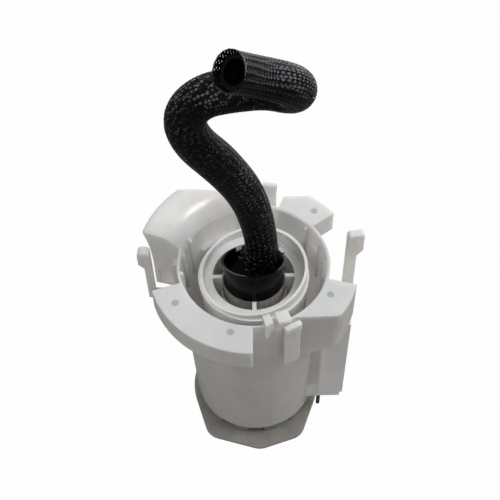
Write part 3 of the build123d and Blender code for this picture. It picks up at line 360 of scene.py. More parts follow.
def woven_group() -> bpy.types.NodeTree:
    """Builds the look of threads laid round an upright axis and, if asked, along it too.

    Returns:
        The node group, with outputs Color and Height.
    """
    sheet, source, sink = effect_group(
        "laid_threads",
        {
            "Thread": ("NodeSocketColor", (0.6, 0.6, 0.6)),
            "Gap": ("NodeSocketColor", (0.2, 0.2, 0.2)),
            "Turns": ("NodeSocketFloat", 200.0),
            "Slant": ("NodeSocketFloat", 0.0),
            "Rise": ("NodeSocketFloat", 0.0),
        },
        {"Color": "NodeSocketColor", "Height": "NodeSocketFloat"},
    )
    place = sheet.coordinates()
    axes = sheet.axes(place)
    angle = sheet.math("ARCTAN2", axes["Y"], axes["X"])
    squares = [sheet.math("MULTIPLY", axes[axis], axes[axis]) for axis in "XY"]
    reach = sheet.math("POWER", sheet.math("ADD", *squares), 0.5)
    turned = sheet.math("MULTIPLY", angle, source.outputs["Turns"])
    phase = sheet.math("ADD", turned, sheet.math("MULTIPLY", reach, source.outputs["Slant"]))
    warp = sheet.math("ABSOLUTE", sheet.math("SINE", phase))
    climb = sheet.math("MULTIPLY", axes["Z"], source.outputs["Rise"])
    weft = sheet.math("ABSOLUTE", sheet.math("SINE", climb))
    height = sheet.math("MAXIMUM", warp, weft)
    sheet.feed(sink.inputs["Height"], height)
    covered = sheet.ramp(height, 0.2, 0.75)
    sheet.feed(sink.inputs["Color"], sheet.mix(covered, source.outputs["Gap"], source.outputs["Thread"]))
    return sheet.tree


class Effects:
    """The shared shader groups, each built on first use."""

    built: dict[str, bpy.types.NodeTree] = {}
    makers = {
        "moulded": moulded_group,
        "metal": metal_group,
        "grainy": grainy_group,
        "marks": marks_group,
        "woven": woven_group,
    }

    @classmethod
    def place(cls, sheet: NodeSheet, kind: str, **inputs: object) -> bpy.types.Node:
        """Places a shared group in a material.

        Args:
            sheet: the material's sheet.
            kind: which group.
            **inputs: values of its inputs; an underscore stands for a space.

        Returns:
            The group's node.
        """
        if kind not in cls.built:
            cls.built[kind] = cls.makers[kind]()
        node = sheet.add("ShaderNodeGroup", {"node_tree": cls.built[kind]})
        for key, value in inputs.items():
            sheet.feed(node.inputs[key.replace("_", " ")], value)
        return node


def start_material(name: str) -> tuple[bpy.types.Material, NodeSheet, bpy.types.Node]:
    """Starts a material with one Principled shader.

    Args:
        name: the material's name.

    Returns:
        The material, its sheet and its shader node.
    """
    material = bpy.data.materials.new(name)
    material.use_nodes = True
    sheet = NodeSheet(material.node_tree)
    return material, sheet, material.node_tree.nodes["Principled BSDF"]


def connect_effect(sheet: NodeSheet, shader: bpy.types.Node, effect: bpy.types.Node, bump: float) -> None:
    """Feeds a group's colour, roughness and height into a shader.

    Args:
        sheet: the material's sheet.
        shader: its Principled shader.
        effect: the placed group.
        bump: depth of the relief, in metres.
    """
    sheet.feed(shader.inputs["Base Color"], effect.outputs["Color"])
    sheet.feed(shader.inputs["Roughness"], effect.outputs["Roughness"])
    relief = sheet.add("ShaderNodeBump", {}, Height=effect.outputs["Height"], Distance=bump)
    sheet.feed(shader.inputs["Normal"], relief.outputs["Normal"])


@dataclass(frozen=True)
class MouldedPlastic:
    """A moulded plastic finish, opaque or milky."""

    name: str
    base: Colour
    shade: Colour
    roughness: float = 0.42
    cloud_scale: float = 40.0
    cloud_share: float = 0.5
    dust: float = 0.1
    milky: float = 0.0
    coat: float = 0.0
    bump: float = 0.00006
    marked: bool = False
    specular: float = 0.5

    def material(self) -> bpy.types.Material:
        """Builds the material.

        Returns:
            The finished material.
        """
        material, sheet, shader = start_material(self.name)
        effect = Effects.place(
            sheet,
            "moulded",
            Base=self.base,
            Shade=self.shade,
            Cloud_Scale=self.cloud_scale,
            Cloud_Share=self.cloud_share,
            Dust=self.dust,
            Roughness=self.roughness,
        )
        connect_effect(sheet, shader, effect, self.bump)
        if self.marked:
            mask = Effects.place(sheet, "marks").outputs["Mask"]
            frosted = sheet.mix(sheet.math("MULTIPLY", mask, 0.85), effect.outputs["Color"], MARK_COLOUR)
            sheet.feed(shader.inputs["Base Color"], frosted)
            dull = sheet.math("MAXIMUM", effect.outputs["Roughness"], sheet.math("MULTIPLY", mask, 0.75))
            sheet.feed(shader.inputs["Roughness"], dull)
        shader.inputs["IOR"].default_value = 1.48
        shader.inputs["Subsurface Weight"].default_value = self.milky
        shader.inputs["Subsurface Radius"].default_value = (1.0, 0.93, 0.86)
        shader.inputs["Subsurface Scale"].default_value = 0.009
        shader.inputs["Specular IOR Level"].default_value = self.specular
        shader.inputs["Coat Weight"].default_value = self.coat
        shader.inputs["Coat Roughness"].default_value = 0.08
        return material


@dataclass(frozen=True)
class WorkedMetal:
    """A bare or plated metal finish."""

    name: str
    base: Colour
    tarnish: Colour
    tarnish_share: float = 0.3
    roughness: float = 0.25
    metallic: float = 1.0
    bump: float = 0.00002

    def material(self) -> bpy.types.Material:
        """Builds the material.

        Returns:
            The finished material.
        """
        material, sheet, shader = start_material(self.name)
        effect = Effects.place(
            sheet,
            "metal",
            Base=self.base,
            Tarnish=self.tarnish,
            Tarnish_Share=self.tarnish_share,
            Roughness=self.roughness,
        )
        connect_effect(sheet, shader, effect, self.bump)
        shader.inputs["Metallic"].default_value = self.metallic
        return material


@dataclass(frozen=True)
class GrainySolid:
    """A rubber, carbon or cloth finish."""

    name: str
    base: Colour
    fleck: Colour
    fleck_scale: float = 900.0
    fleck_share: float = 0.5
    roughness: float = 0.7
    bump: float = 0.0001
    specular: float = 0.5

    def material(self) -> bpy.types.Material:
        """Builds the material.

        Returns:
            The finished material.
        """
        material, sheet, shader = start_material(self.name)
        effect = Effects.place(
            sheet,
            "grainy",
            Base=self.base,
            Fleck=self.fleck,
            Fleck_Scale=self.fleck_scale,
            Fleck_Share=self.fleck_share,
            Roughness=self.roughness,
        )
        connect_effect(sheet, shader, effect, self.bump)
        shader.inputs["Specular IOR Level"].default_value = self.specular
        return material


@dataclass(frozen=True)
class LaidThreads:
    """Threads or wires laid round the pump's axis: woven cloth or wound copper."""

    name: str
    thread: Colour
    gap: Colour
    turns: float
    slant: float
    rise: float
    roughness: float
    metallic: float
    bump: float

    def material(self) -> bpy.types.Material:
        """Builds the material.

        Returns:
            The finished material.
        """
        material, sheet, shader = start_material(self.name)
        effect = Effects.place(
            sheet,
            "woven",
            Thread=self.thread,
            Gap=self.gap,
            Turns=self.turns,
            Slant=self.slant,
            Rise=self.rise,
        )
        sheet.feed(shader.inputs["Base Color"], effect.outputs["Color"])
        shader.inputs["Roughness"].default_value = self.roughness
        shader.inputs["Metallic"].default_value = self.metallic
        relief = sheet.add("ShaderNodeBump", {}, Height=effect.outputs["Height"], Distance=self.bump)
        sheet.feed(shader.inputs["Normal"], relief.outputs["Normal"])
        return material


@dataclass(frozen=True)
class BraidedFilament:
    """Black monofilament, three filaments to a strand, read across the strand's width, with a painted
    highlight on its up-facing crossings.
    """

    name: str = "sleeve_braid"
    base: Colour = (0.004, 0.004, 0.005)
    worn: Colour = (0.010, 0.010, 0.012)
    # Colour of the painted highlight on the strands' crossings.
    painted_glint: Colour = (0.30, 0.30, 0.32)
    roughness: float = 0.18
    bump: float = 0.00012

    def material(self) -> bpy.types.Material:
        """Builds the material.

        Returns:
            The finished material.
        """
        material, sheet, shader = start_material(self.name)
        strand = sheet.axes(sheet.coordinates("UV"))
        wave = sheet.math("ABSOLUTE", sheet.math("SINE", sheet.math("MULTIPLY", strand["Y"], 3 * pi)))
        turned = sheet.math("SUBTRACT", sheet.math("MULTIPLY", strand["X"], pi / 2), pi / 4)
        raised = sheet.ramp(sheet.math("COSINE", turned), 0.55, 0.95)
        effect = Effects.place(
            sheet,
            "grainy",
            Base=self.base,
            Fleck=self.worn,
            Fleck_Scale=700.0,
            Fleck_Share=0.6,
            Roughness=self.roughness,
        )
        dark = sheet.mix(sheet.ramp(wave, 0.0, 0.5), (0.003, 0.003, 0.003), effect.outputs["Color"])
        # Painted highlight: the colour turns pale grey on the strands' crowns, in noise patches, where the
        # surface faces up towards the lamps.
        place = sheet.coordinates()
        lit = sheet.ramp(sheet.upward(), -0.15, 0.55)
        patch = sheet.math("MULTIPLY", sheet.ramp(sheet.noise(place, 45.0, 1.0), 0.26, 0.50), lit)
        painted_glint = sheet.math("MULTIPLY", sheet.math("MULTIPLY", raised, sheet.ramp(wave, 0.5, 0.95)), patch)
        sheet.feed(shader.inputs["Base Color"], sheet.mix(painted_glint, dark, self.painted_glint))
        shader.inputs["Roughness"].default_value = self.roughness
        shader.inputs["Specular IOR Level"].default_value = 0.12
        relief = sheet.add("ShaderNodeBump", {}, Height=wave, Distance=self.bump)
        sheet.feed(shader.inputs["Normal"], relief.outputs["Normal"])
        return material


FINISHES = (
    MouldedPlastic(
        "pot_plastic",
        (0.87, 0.87, 0.86),
        (0.77, 0.75, 0.72),
        roughness=0.24,
        cloud_scale=30.0,
        cloud_share=0.6,
        dust=0.06,
        milky=0.85,
        coat=0.4,
        bump=0.0001,
        marked=True,
    ),
    MouldedPlastic("foot_plastic", (0.33, 0.32, 0.30), (0.23, 0.22, 0.20), 0.35, 45.0, 0.6, 0.15, 0.7),
    MouldedPlastic("holder_plastic", (0.95, 0.95, 0.93), (0.88, 0.87, 0.85), 0.28, 35.0, 0.4, 0.03, 0.2, 0.3),
    MouldedPlastic("plate_plastic", (0.96, 0.96, 0.97), (0.91, 0.91, 0.92), 0.22, 25.0, 0.4, 0.02, 0.1, 0.3),
    MouldedPlastic("filter_plastic", (0.78, 0.78, 0.74), (0.68, 0.68, 0.64), 0.45, 40.0, 0.5, 0.1, 0.3),
    MouldedPlastic("housing_plastic", (0.045, 0.045, 0.048), (0.09, 0.09, 0.09), 0.5, 60.0, 0.4, 0.1),
    MouldedPlastic("impeller_plastic", (0.06, 0.045, 0.035), (0.11, 0.09, 0.07), 0.45, 90.0, 0.6, 0.0),
    MouldedPlastic(
        "cap_plastic",
        (0.003, 0.003, 0.004),
        (0.005, 0.005, 0.006),
        roughness=0.14,
        cloud_scale=60.0,
        dust=0.0,
        bump=0.00003,
        specular=0.05,
    ),
    MouldedPlastic("card_ceramic", (0.60, 0.63, 0.58), (0.42, 0.47, 0.42), 0.3, 150.0, 0.5, 0.0),
    WorkedMetal("can_steel", (0.60, 0.60, 0.58), (0.35, 0.33, 0.28), 0.4, 0.3),
    WorkedMetal("bearing_bronze", (0.62, 0.42, 0.22), (0.30, 0.20, 0.12), 0.5, 0.42),
    WorkedMetal("shaft_steel", (0.66, 0.66, 0.67), (0.45, 0.44, 0.42), 0.2, 0.18),
    WorkedMetal("core_steel", (0.20, 0.20, 0.21), (0.12, 0.10, 0.09), 0.4, 0.5),
    LaidThreads(
        "winding_copper",
        (0.62, 0.25, 0.10),
        (0.10, 0.03, 0.015),
        turns=26.0,
        slant=2400.0,
        rise=0.0,
        roughness=0.28,
        metallic=1.0,
        bump=0.0003,
    ),
    WorkedMetal("magnet_ferrite", (0.08, 0.08, 0.085), (0.14, 0.13, 0.12), 0.5, 0.6, 0.6),
    WorkedMetal("spring_steel", (0.55, 0.55, 0.56), (0.30, 0.29, 0.27), 0.3, 0.25),
    WorkedMetal("ball_steel", (0.75, 0.75, 0.76), (0.6, 0.6, 0.6), 0.1, 0.06),
    WorkedMetal("terminal_brass", (0.72, 0.68, 0.55), (0.45, 0.40, 0.28), 0.4, 0.3),
    WorkedMetal("pin_steel", (0.10, 0.10, 0.11), (0.05, 0.05, 0.05), 0.5, 0.4),
    WorkedMetal("clamp_steel", (0.78, 0.78, 0.78), (0.5, 0.5, 0.5), 0.2, 0.15),
    GrainySolid("valve_rubber", (0.06, 0.06, 0.065), (0.10, 0.10, 0.10), 500.0, 0.4, 0.55),
    GrainySolid("isolator_rubber", (0.34, 0.31, 0.27), (0.74, 0.70, 0.64), 1100.0, 0.7, 0.8, 0.0003),
    GrainySolid("brush_carbon", (0.03, 0.03, 0.03), (0.07, 0.07, 0.07), 1500.0, 0.5, 0.6),
    LaidThreads("filter_cloth", (0.66, 0.66, 0.61), (0.22, 0.22, 0.20), 90.0, 0.0, 3750.0, 0.7, 0.0, 0.0002),
    GrainySolid("hose_rubber", (0.005, 0.005, 0.006), (0.009, 0.009, 0.009), 800.0, 0.4, 0.35, 0.00004, 0.08),
    BraidedFilament(),
)


@dataclass
class Wardrobe:
    """One material for each slot of the record."""

    materials: dict[str, bpy.types.Material] = field(default_factory=dict)

    def build(self) -> None:
        """Builds every finish's material."""
        for finish in FINISHES:
            self.materials[finish.name] = finish.material()
            LOG.info("finish %s", finish.name)

    def dress_frame(self) -> None:
        """Gives every CAD node the material of its slot."""
        for part in frame["record"]["subparts"]:
            node = frame["nodes"][part["node"]]
            node.data.materials.clear()
            node.data.materials.append(self.materials[part["material_slot"]])


@dataclass
class MeshPiece:
    """Vertices, faces and face corners' texture places that grow into one object."""

    name: str
    slot: str
    body: str = ROOT_BODY
    points: list[Point] = field(default_factory=list)
    faces: list[tuple[int, ...]] = field(default_factory=list)
    places: list[tuple[float, float]] = field(default_factory=list)

    def strip(self, rows: np.ndarray, closed: bool = False, along: float = 1.0, offset: float = 0.0) -> None:
        """Adds a sheet of quads through rows of points.

        Args:
            rows: points by row and column, in metres.
            closed: whether each row is a closed ring.
            along: how much texture length the rows cover.
            offset: the texture place of the first row.
        """
        start = len(self.points)
        count, width = rows.shape[:2]
        self.points.extend(map(tuple, rows.reshape(-1, 3)))
        steps = width if closed else width - 1
        for row in range(count - 1):
            low, high = offset + along * row / (count - 1), offset + along * (row + 1) / (count - 1)
            for column in range(steps):
                other = (column + 1) % width
                near, far = start + row * width, start + (row + 1) * width
                self.faces.append((near + column, near + other, far + other, far + column))
                left, right = column / steps, (column + 1) / steps
                self.places.extend([(low, left), (low, right), (high, right), (high, left)])

    def finish(self, wardrobe: Wardrobe, smooth: bool = True) -> bpy.types.Object:
        """Makes the object, dresses it and lets it ride on its body.

        Args:
            wardrobe: the materials.
            smooth: whether faces are shaded smooth.

        Returns:
            The new object.
        """
        mesh = bpy.data.meshes.new(self.name)
        mesh.from_pydata(self.points, [], self.faces)
        layer = mesh.uv_layers.new(name="strand")
        layer.data.foreach_set("uv", np.array(self.places, float).ravel())
        mesh.polygons.foreach_set("use_smooth", [smooth] * len(self.faces))
        mesh.materials.append(wardrobe.materials[self.slot])
        mesh.update()
        piece = bpy.data.objects.new(self.name, mesh)
        bpy.context.scene.collection.objects.link(piece)
        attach(piece, self.body)
        LOG.info("piece %s: %d faces", self.name, len(self.faces))
        return piece


@dataclass
class HoseLine:
    """The hose's smooth centreline, read from a spline through the route's control points."""

    route: tuple[Point, ...] = (
        (0.0060, 0.0060, 0.1403),
        (0.0060, 0.0060, 0.1640),
        (0.0045, 0.0045, 0.1960),
        (-0.0030, -0.0010, 0.2360),
        (-0.0170, -0.0085, 0.2700),
        (-0.0325, -0.0155, 0.2970),
        (-0.0360, -0.0175, 0.3170),
        (-0.0260, -0.0180, 0.3315),
        (-0.0090, -0.0180, 0.3360),
        (0.0080, -0.0195, 0.3390),
        (0.0228, -0.0328, 0.3468),
        (0.0188, -0.0453, 0.3638),
        (-0.0007, -0.0475, 0.3717),
        (-0.0074, -0.0528, 0.3782),
    )
    step: float = 0.0005
    points: np.ndarray = field(init=False)
    sideways: np.ndarray = field(init=False)
    upward: np.ndarray = field(init=False)
    forward: np.ndarray = field(init=False)

    def __post_init__(self) -> None:
        """Reads the spline and sets up its frames."""
        self.points = self.read_spline()
        self.set_frames()

    def read_spline(self) -> np.ndarray:
        """Reads evenly spaced points from the route's spline.

        Returns:
            The points, one row each.
        """
        curve = bpy.data.curves.new("hose_line", "CURVE")
        curve.dimensions = "3D"
        spline = curve.splines.new("NURBS")
        spline.points.add(len(self.route) - 1)
        for knot, place in zip(spline.points, self.route):
            knot.co = (*place, 1.0)
        spline.order_u = 3
        spline.use_endpoint_u = True
        spline.resolution_u = 24
        carrier = bpy.data.objects.new("hose_line", curve)
        bpy.context.scene.collection.objects.link(carrier)
        mesh = bpy.data.meshes.new_from_object(carrier)
        raw = np.array([vertex.co for vertex in mesh.vertices], float)
        bpy.data.objects.remove(carrier)
        bpy.data.meshes.remove(mesh)
        gaps = np.linalg.norm(np.diff(raw, axis=0), axis=1)
        raw = raw[np.concatenate([[True], gaps > 1e-7])]
        run = np.concatenate([[0.0], np.cumsum(np.linalg.norm(np.diff(raw, axis=0), axis=1))])
        even = np.linspace(0.0, run[-1], int(run[-1] / self.step) + 1)
        return np.stack([np.interp(even, run, raw[:, axis]) for axis in range(3)], axis=1)

    def set_frames(self) -> None:
        """Carries one sideways direction along the line without twist."""
        ahead = np.gradient(self.points, axis=0)
        self.forward = ahead / np.linalg.norm(ahead, axis=1)[:, None]
        sideways = [np.array((1.0, 0.0, 0.0))]
        for direction in self.forward:
            flat = sideways[-1] - direction * float(sideways[-1] @ direction)
            sideways.append(flat / np.linalg.norm(flat))
        self.sideways = np.array(sideways[1:])
        self.upward = np.cross(self.forward, self.sideways)

    @property
    def length(self) -> float:
        """Length of the line in metres."""
        return float(np.linalg.norm(np.diff(self.points, axis=0), axis=1).sum())

    def spine(self, start: float) -> np.ndarray:
        """The line from a distance along it to its end, in steps of about 6 mm.

        Args:
            start: that distance, in metres.

        Returns:
            The points, one row each.
        """
        steps = np.linspace(start, self.length, int((self.length - start) / 0.006) + 1)
        return self.place(steps, np.zeros_like(steps), np.zeros_like(steps))

    def place(self, along: np.ndarray, angle: np.ndarray, radius: np.ndarray) -> np.ndarray:
        """Points round the line; past its ends it runs straight on.

        Args:
            along: distances from the start, in metres.
            angle: angles round the line, in radians.
            radius: distances from the line, in metres.

        Returns:
            The points, with one more axis than the arguments.
        """
        run = np.linspace(0.0, self.length, len(self.points))
        held = np.clip(along, 0.0, self.length)

        def read(values: np.ndarray) -> np.ndarray:
            """Values at the held distances."""
            return np.stack([np.interp(held, run, values[:, axis]) for axis in range(3)], axis=-1)

        over = (along - held)[..., None]
        centre = read(self.points) + over * read(self.forward)
        side = read(self.sideways) * np.cos(angle)[..., None]
        rise = read(self.upward) * np.sin(angle)[..., None]
        return centre + (side + rise) * radius[..., None]


@dataclass
class BraidedHose:
    """A ribbed hose inside a braided sleeve, frayed at its foot and fused at its mouth."""

    line: HoseLine
    strand_count: int = 36
    turns: float = 4.2
    strand_width: float = 0.00118
    strand_crown: float = 0.00016
    weave_depth: float = 0.00032
    sleeve_start: float = 0.012
    start_slant: float = 0.0165
    sleeve_overhang: float = 0.0034
    edge_size: float = 0.0003
    skirt_flare: float = 0.0022
    skirt_side_flare: float = 0.0020
    skirt_reach: float = 0.0055
    mouth_flare: float = 0.0004
    mouth_reach: float = 0.0035
    fray_step: float = 0.0015
    fray_reach: float = 0.020
    sweep_reach: float = 0.004
    samples: int = 640
    bore: float = 0.0066
    hose_radius: float = 0.0094
    sleeve_thickness: float = 0.0009
    end_step: float = 0.0008
    rib_pitch: float = 0.0032
    rib_depth: float = 0.0003
    cuff_length: float = 0.0055
    hose_length: float = 0.3078
    sleeve_length: float = 0.2958
    seed: int = 7

    def sleeve_radius(self, along: np.ndarray) -> np.ndarray:
        """Mean radius of the sleeve: bunched up in the first bend and drawn tight at the mouth.

        Args:
            along: distances from the hose's start, in metres.

        Returns:
            The radius at each distance, in metres.
        """
        knots = np.array((0.0, 0.05, 0.10, 0.14, 0.17, 0.20, 0.225, 0.25, 0.27, 0.285, 0.31))
        sizes = np.array((10.3, 10.4, 11.2, 11.7, 11.1, 10.7, 11.1, 10.9, 9.9, 9.3, 9.2)) * MM
        return np.interp(along, knots, sizes)

    def flare(self, along: np.ndarray, angle: np.ndarray, start: float) -> np.ndarray:
        """How far the sleeve's two open ends spread outward; its skirt spreads most to the sides.

        Args:
            along: distances from the hose's start, in metres.
            angle: angles round the hose, in radians.
            start: where the strand starts, in metres.

        Returns:
            The spread at each distance, in metres.
        """
        skirt = self.skirt_flare + self.skirt_side_flare * np.cos(angle) ** 2
        low = skirt * np.exp(-np.clip(along - start, 0.0, None) / self.skirt_reach)
        end = self.line.length + self.sleeve_overhang
        high = self.mouth_flare * np.exp(-np.clip(end - along, 0.0, None) / self.mouth_reach)
        return low + high

    def shift(self, index: int, hand: Hand) -> float:
        """Where a strand starts in the weave's round of four crossings.

        Args:
            index: its number among the strands of its hand.
            hand: which way it winds.

        Returns:
            The number of crossings to start from.
        """
        return 2.0 * index + (0.0 if hand is Hand.RIGHT else 3.0)

    def strand(self, index: int, hand: Hand, dice: Random) -> np.ndarray:
        """One strand that winds along the sleeve, over two and under two of the others.

        Args:
            index: its number among the strands of its hand.
            hand: which way it winds.
            dice: the seeded dice that fray its ends.

        Returns:
            Points by row along the strand and column across it.
        """
        slant = self.start_slant * cos(tau * index / self.strand_count + 0.8 * hand.value) ** 2
        start = self.sleeve_start + slant + dice.uniform(-1.0, 1.0) * self.fray_step
        end = self.line.length + self.sleeve_overhang + dice.uniform(-0.12, 0.12) * MM
        along = np.linspace(start, end, self.samples)
        whole = self.line.length - self.sleeve_start
        wound = tau * self.turns * (along - self.sleeve_start) / whole
        angle = tau * index / self.strand_count + hand.value * wound
        crossing = 2 * wound * self.strand_count / tau + self.shift(index, hand)
        height = np.clip(1.5 * np.cos(crossing * pi / 2 - pi / 4), -1.0, 1.0)
        spread = dice.uniform(0.5, 1.25)
        fray = 1.0 + (spread - 1.0) * np.exp(-(along - start) / self.fray_reach)
        radius = self.sleeve_radius(along) + self.flare(along, angle, start) * fray
        radius = radius + height * self.weave_depth
        sweep = dice.uniform(-0.25, 0.25) * np.exp(-(along - start) / self.sweep_reach)
        angle = angle + sweep
        across = np.array((-0.5, 0.0, 0.5)) * self.strand_width
        crown = np.array((0.0, 1.0, 0.0)) * self.strand_crown
        slope = tau * self.turns * self.sleeve_radius(along) / whole
        lean = np.arctan(slope)
        offset_angle = across[None, :] * np.cos(lean)[:, None] / radius[:, None]
        offset_along = -hand.value * across[None, :] * np.sin(lean)[:, None]
        return self.line.place(
            along[:, None] + offset_along,
            angle[:, None] + offset_angle,
            radius[:, None] + crown[None, :],
        )

    def edge_ring(self) -> np.ndarray:
        """The fused edge that holds the strands together at the mouth.

        Returns:
            Points by row across the edge and column round it.
        """
        sides, columns = 10, 2 * self.strand_count
        end = self.line.length + self.sleeve_overhang
        turn = np.linspace(0.0, tau, sides)
        around = np.linspace(0.0, tau, columns, endpoint=False)
        along = end + self.edge_size * np.cos(turn)
        radius = self.sleeve_radius(along) + self.mouth_flare + self.edge_size * np.sin(turn)
        return self.line.place(
            np.repeat(along[:, None], columns, axis=1),
            np.repeat(around[None, :], sides, axis=0),
            np.repeat(radius[:, None], columns, axis=1),
        )

    def build_sleeve(self, wardrobe: Wardrobe) -> bpy.types.Object:
        """Builds the braided sleeve from its strands.

        Args:
            wardrobe: the materials.

        Returns:
            The sleeve.
        """
        dice = Random(self.seed)
        sleeve = MeshPiece("braided_sleeve", "sleeve_braid")
        for hand in Hand:
            for index in range(self.strand_count):
                crossings = 2 * self.turns * self.strand_count
                sleeve.strip(self.strand(index, hand, dice), along=crossings, offset=self.shift(index, hand))
        sleeve.strip(self.edge_ring(), closed=True)
        piece = sleeve.finish(wardrobe)
        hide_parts("hose_sleeve")
        spine = self.line.spine(self.sleeve_start)
        return piece

    def build_core(self, wardrobe: Wardrobe) -> bpy.types.Object:
        """Builds the ribbed hose with its open bore.

        Args:
            wardrobe: the materials.

        Returns:
            The hose.
        """
        end = self.line.length - self.cuff_length
        columns = 40
        rows = int(end / (self.rib_pitch / 6))
        along = np.linspace(0.0, end, rows)
        rib = self.rib_depth * np.cos(tau * along / self.rib_pitch)
        inside = self.sleeve_radius(along) - self.sleeve_thickness
        outer = np.minimum(self.hose_radius, inside) - self.rib_depth + rib
        inner = np.full(rows, self.bore)
        there = np.concatenate([along, along[-1:], along[::-1], along[:1]])
        radius = np.concatenate([outer, outer[-1:] - self.end_step, inner[::-1], outer[:1]])
        around = np.linspace(0.0, tau, columns, endpoint=False)
        grid = self.line.place(
            np.repeat(there[:, None], columns, axis=1),
            np.repeat(around[None, :], len(there), axis=0),
            np.repeat(radius[:, None], columns, axis=1),
        )
        hose = MeshPiece("ribbed_hose", "hose_rubber")
        hose.strip(grid, closed=True)
        piece = hose.finish(wardrobe)
        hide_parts("outlet_hose")
        spine = self.line.spine(0.0)
        return piece

    def build(self, wardrobe: Wardrobe) -> None:
        """Builds the hose and its sleeve.

        Args:
            wardrobe: the materials.
        """
        self.build_core(wardrobe)
        self.build_sleeve(wardrobe)


@dataclass
class CoilSpring:
    """A wire coil wound round an upright axis between a bottom and a top height."""

    node: str
    joint: str
    centre: tuple[float, float]
    bottom: float
    top: float
    radius: float
    wire: float
    coils: float
    keep: float

    def build(self, wardrobe: Wardrobe) -> None:
        """Winds the coil, with its last turn at each end closed up.

        Args:
            wardrobe: the materials.
        """
        turns = np.linspace(0.0, self.coils, int(self.coils * 28))
        share = np.clip((turns - 0.8) / (self.coils - 1.6), 0.0, 1.0)
        low, high = self.bottom + self.wire, self.top - self.wire
        height = low + (high - low) * share
        reach = self.radius - self.wire
        line = np.stack(
            [
                self.centre[0] + reach * np.cos(tau * turns),
                self.centre[1] + reach * np.sin(tau * turns),
                height,
            ],
            axis=1,
        )
        outward = np.stack([np.cos(tau * turns), np.sin(tau * turns), np.zeros_like(turns)], axis=1)
        ahead = np.gradient(line, axis=0)
        ahead /= np.linalg.norm(ahead, axis=1)[:, None]
        upward = np.cross(ahead, outward)
        around = np.linspace(0.0, tau, 8, endpoint=False)
        ring = (
            outward[:, None, :] * np.cos(around)[None, :, None]
            + upward[:, None, :] * np.sin(around)[None, :, None]
        )
        coil = MeshPiece(self.node + "_coil", "spring_steel")
        coil.strip(line[:, None, :] + self.wire * ring, closed=True)
        piece = coil.finish(wardrobe)
        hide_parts(self.node)
        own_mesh(piece)


BRUSH_SPRING_PLACE = 0.004879
BRUSH_SPRINGS = tuple(
    CoilSpring(
        f"brush_spring_{side}",
        f"{side}_brush_slide",
        centre=(sign * BRUSH_SPRING_PLACE, -sign * BRUSH_SPRING_PLACE),
        bottom=0.12725,
        top=0.13065,
        radius=0.0015,
        wire=0.00015,
        coils=4.0,
        keep=0.412,
    )
    for side, sign in (("left", -1.0), ("right", 1.0))
)
SPRINGS = (
    *BRUSH_SPRINGS,
    CoilSpring(
        "check_spring",
        "outlet_valve_lift",
        centre=(0.006, 0.006),
        bottom=0.144,
        top=0.1495,
        radius=0.0034,
        wire=0.0003,
        coils=5.0,
        keep=0.636,
    ),
    CoilSpring(
        "relief_spring",
        "relief_valve_lift",
        centre=(-0.0086, -0.0086),
        bottom=0.13314,
        top=0.1374,
        radius=0.0019,
        wire=0.00022,
        coils=6.0,
        keep=0.765,
    ),
)


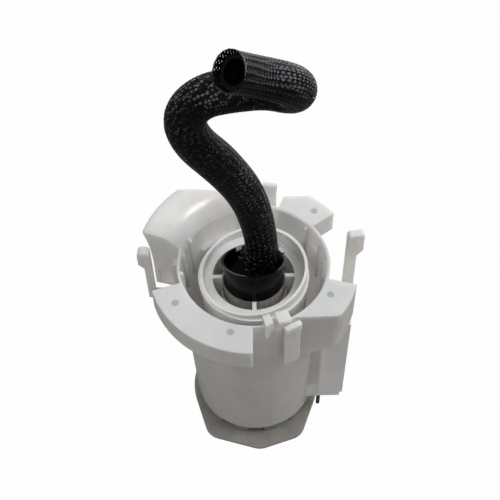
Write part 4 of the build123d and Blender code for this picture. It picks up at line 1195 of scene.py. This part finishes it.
@dataclass
class Studio:
    """Camera, lamps, floor and sky."""

    camera_place: Point = (-0.0021, -0.35878, 0.6479)
    pitch: float = 52.59
    roll: float = -1.31
    lens: float = 64.8
    sky_edge: float = 0.21
    sky_top: float = 0.40
    floor_glow: float = 0.985

    def build_camera(self) -> None:
        """Sets the camera at the photograph's angle."""
        data = bpy.data.cameras.new("camera")
        data.lens = self.lens
        data.sensor_width = 36.0
        camera = bpy.data.objects.new("camera", data)
        turn = Matrix.Rotation(radians(90 - self.pitch), 4, "X") @ Matrix.Rotation(radians(self.roll), 4, "Z")
        camera.matrix_world = Matrix.Translation(self.camera_place) @ turn
        bpy.context.scene.collection.objects.link(camera)
        bpy.context.scene.camera = camera

    def build_lamp(self, name: str, place: Point, size: float, power: float) -> None:
        """Adds a square soft lamp that faces the object.

        Args:
            name: its name.
            place: its place.
            size: its side, in metres.
            power: its power, in watts.
        """
        data = bpy.data.lights.new(name, "AREA")
        data.size = size
        data.energy = power
        lamp = bpy.data.objects.new(name, data)
        aim = Vector((0.0, 0.0, 0.15)) - Vector(place)
        lamp.matrix_world = Matrix.Translation(place) @ aim.to_track_quat("-Z", "Y").to_matrix().to_4x4()
        bpy.context.scene.collection.objects.link(lamp)

    def build_sky(self) -> None:
        """Sets a sky that is plain white to look at and lights mostly from overhead."""
        world = bpy.data.worlds.new("studio_sky")
        world.use_nodes = True
        sheet = NodeSheet(world.node_tree)
        backdrop = world.node_tree.nodes["Background"]
        height = sheet.math("MAXIMUM", sheet.axes(sheet.coordinates("Generated"))["Z"], 0.0)
        glow = sheet.math("MULTIPLY", sheet.math("POWER", height, 2.0), self.sky_top)
        light = sheet.math("ADD", glow, self.sky_edge)
        seen = self.seen_share(sheet)
        rest = sheet.math("MULTIPLY", light, sheet.math("SUBTRACT", 1.0, seen))
        sheet.feed(backdrop.inputs["Color"], (1.0, 1.0, 1.0))
        sheet.feed(backdrop.inputs["Strength"], sheet.math("ADD", seen, rest))
        bpy.context.scene.world = world

    def seen_share(self, sheet: NodeSheet) -> bpy.types.NodeSocket:
        """1 for rays from the camera or through a clear solid, and 0 for light.

        Args:
            sheet: the tree that asks.

        Returns:
            The share.
        """
        rays = sheet.add("ShaderNodeLightPath").outputs
        return sheet.math("MAXIMUM", rays["Is Camera Ray"], rays["Is Transmission Ray"])

    def build_floor(self) -> None:
        """Lays a pale floor that keeps the object's shadow."""
        mesh = bpy.data.meshes.new("studio_floor")
        reach = 6.0
        corners = [(x * reach, y * reach, 0.0) for x, y in ((-1, -1), (1, -1), (1, 1), (-1, 1))]
        mesh.from_pydata(corners, [], [(0, 1, 2, 3)])
        floor = bpy.data.objects.new("studio_floor", mesh)
        bpy.context.scene.collection.objects.link(floor)
        material, sheet, shader = start_material("studio_floor")
        place = sheet.coordinates()
        pale = sheet.mix(sheet.noise(place, 3.0), (0.34, 0.32, 0.29), (0.40, 0.38, 0.35))
        sheet.feed(shader.inputs["Base Color"], pale)
        shader.inputs["Roughness"].default_value = 0.9
        shader.inputs["Specular IOR Level"].default_value = 0.1
        glow = sheet.add("ShaderNodeEmission", {}, Color=(1.0, 1.0, 1.0), Strength=1.0)
        blend = sheet.add("ShaderNodeMixShader")
        sheet.feed(blend.inputs[0], sheet.math("MULTIPLY", self.seen_share(sheet), self.floor_glow))
        sheet.feed(blend.inputs[1], shader.outputs["BSDF"])
        sheet.feed(blend.inputs[2], glow.outputs["Emission"])
        sheet.feed(material.node_tree.nodes["Material Output"].inputs["Surface"], blend.outputs["Shader"])
        mesh.materials.append(material)

    def build(self) -> None:
        """Sets up the whole studio."""
        self.build_camera()
        self.build_sky()
        self.build_floor()
        self.build_lamp("key_lamp", (0.60, -0.1, 0.98), 0.35, 3.7)
        self.build_lamp("fill_lamp", (-0.62, -0.15, 0.92), 0.28, 1.4)
        self.build_lamp("back_lamp", (0.35, 0.95, 0.30), 1.0, 8.0)
        bpy.context.scene.view_settings.view_transform = "Standard"


def main() -> None:
    """Builds the studio, the finishes and every piece in order."""
    logging.basicConfig(level=logging.INFO, format="%(name)s: %(message)s")
    Studio().build()
    wardrobe = Wardrobe()
    wardrobe.build()
    wardrobe.dress_frame()
    BraidedHose(HoseLine()).build(wardrobe)
    for spring in SPRINGS:
        spring.build(wardrobe)


if __name__ == "__main__":
    main()
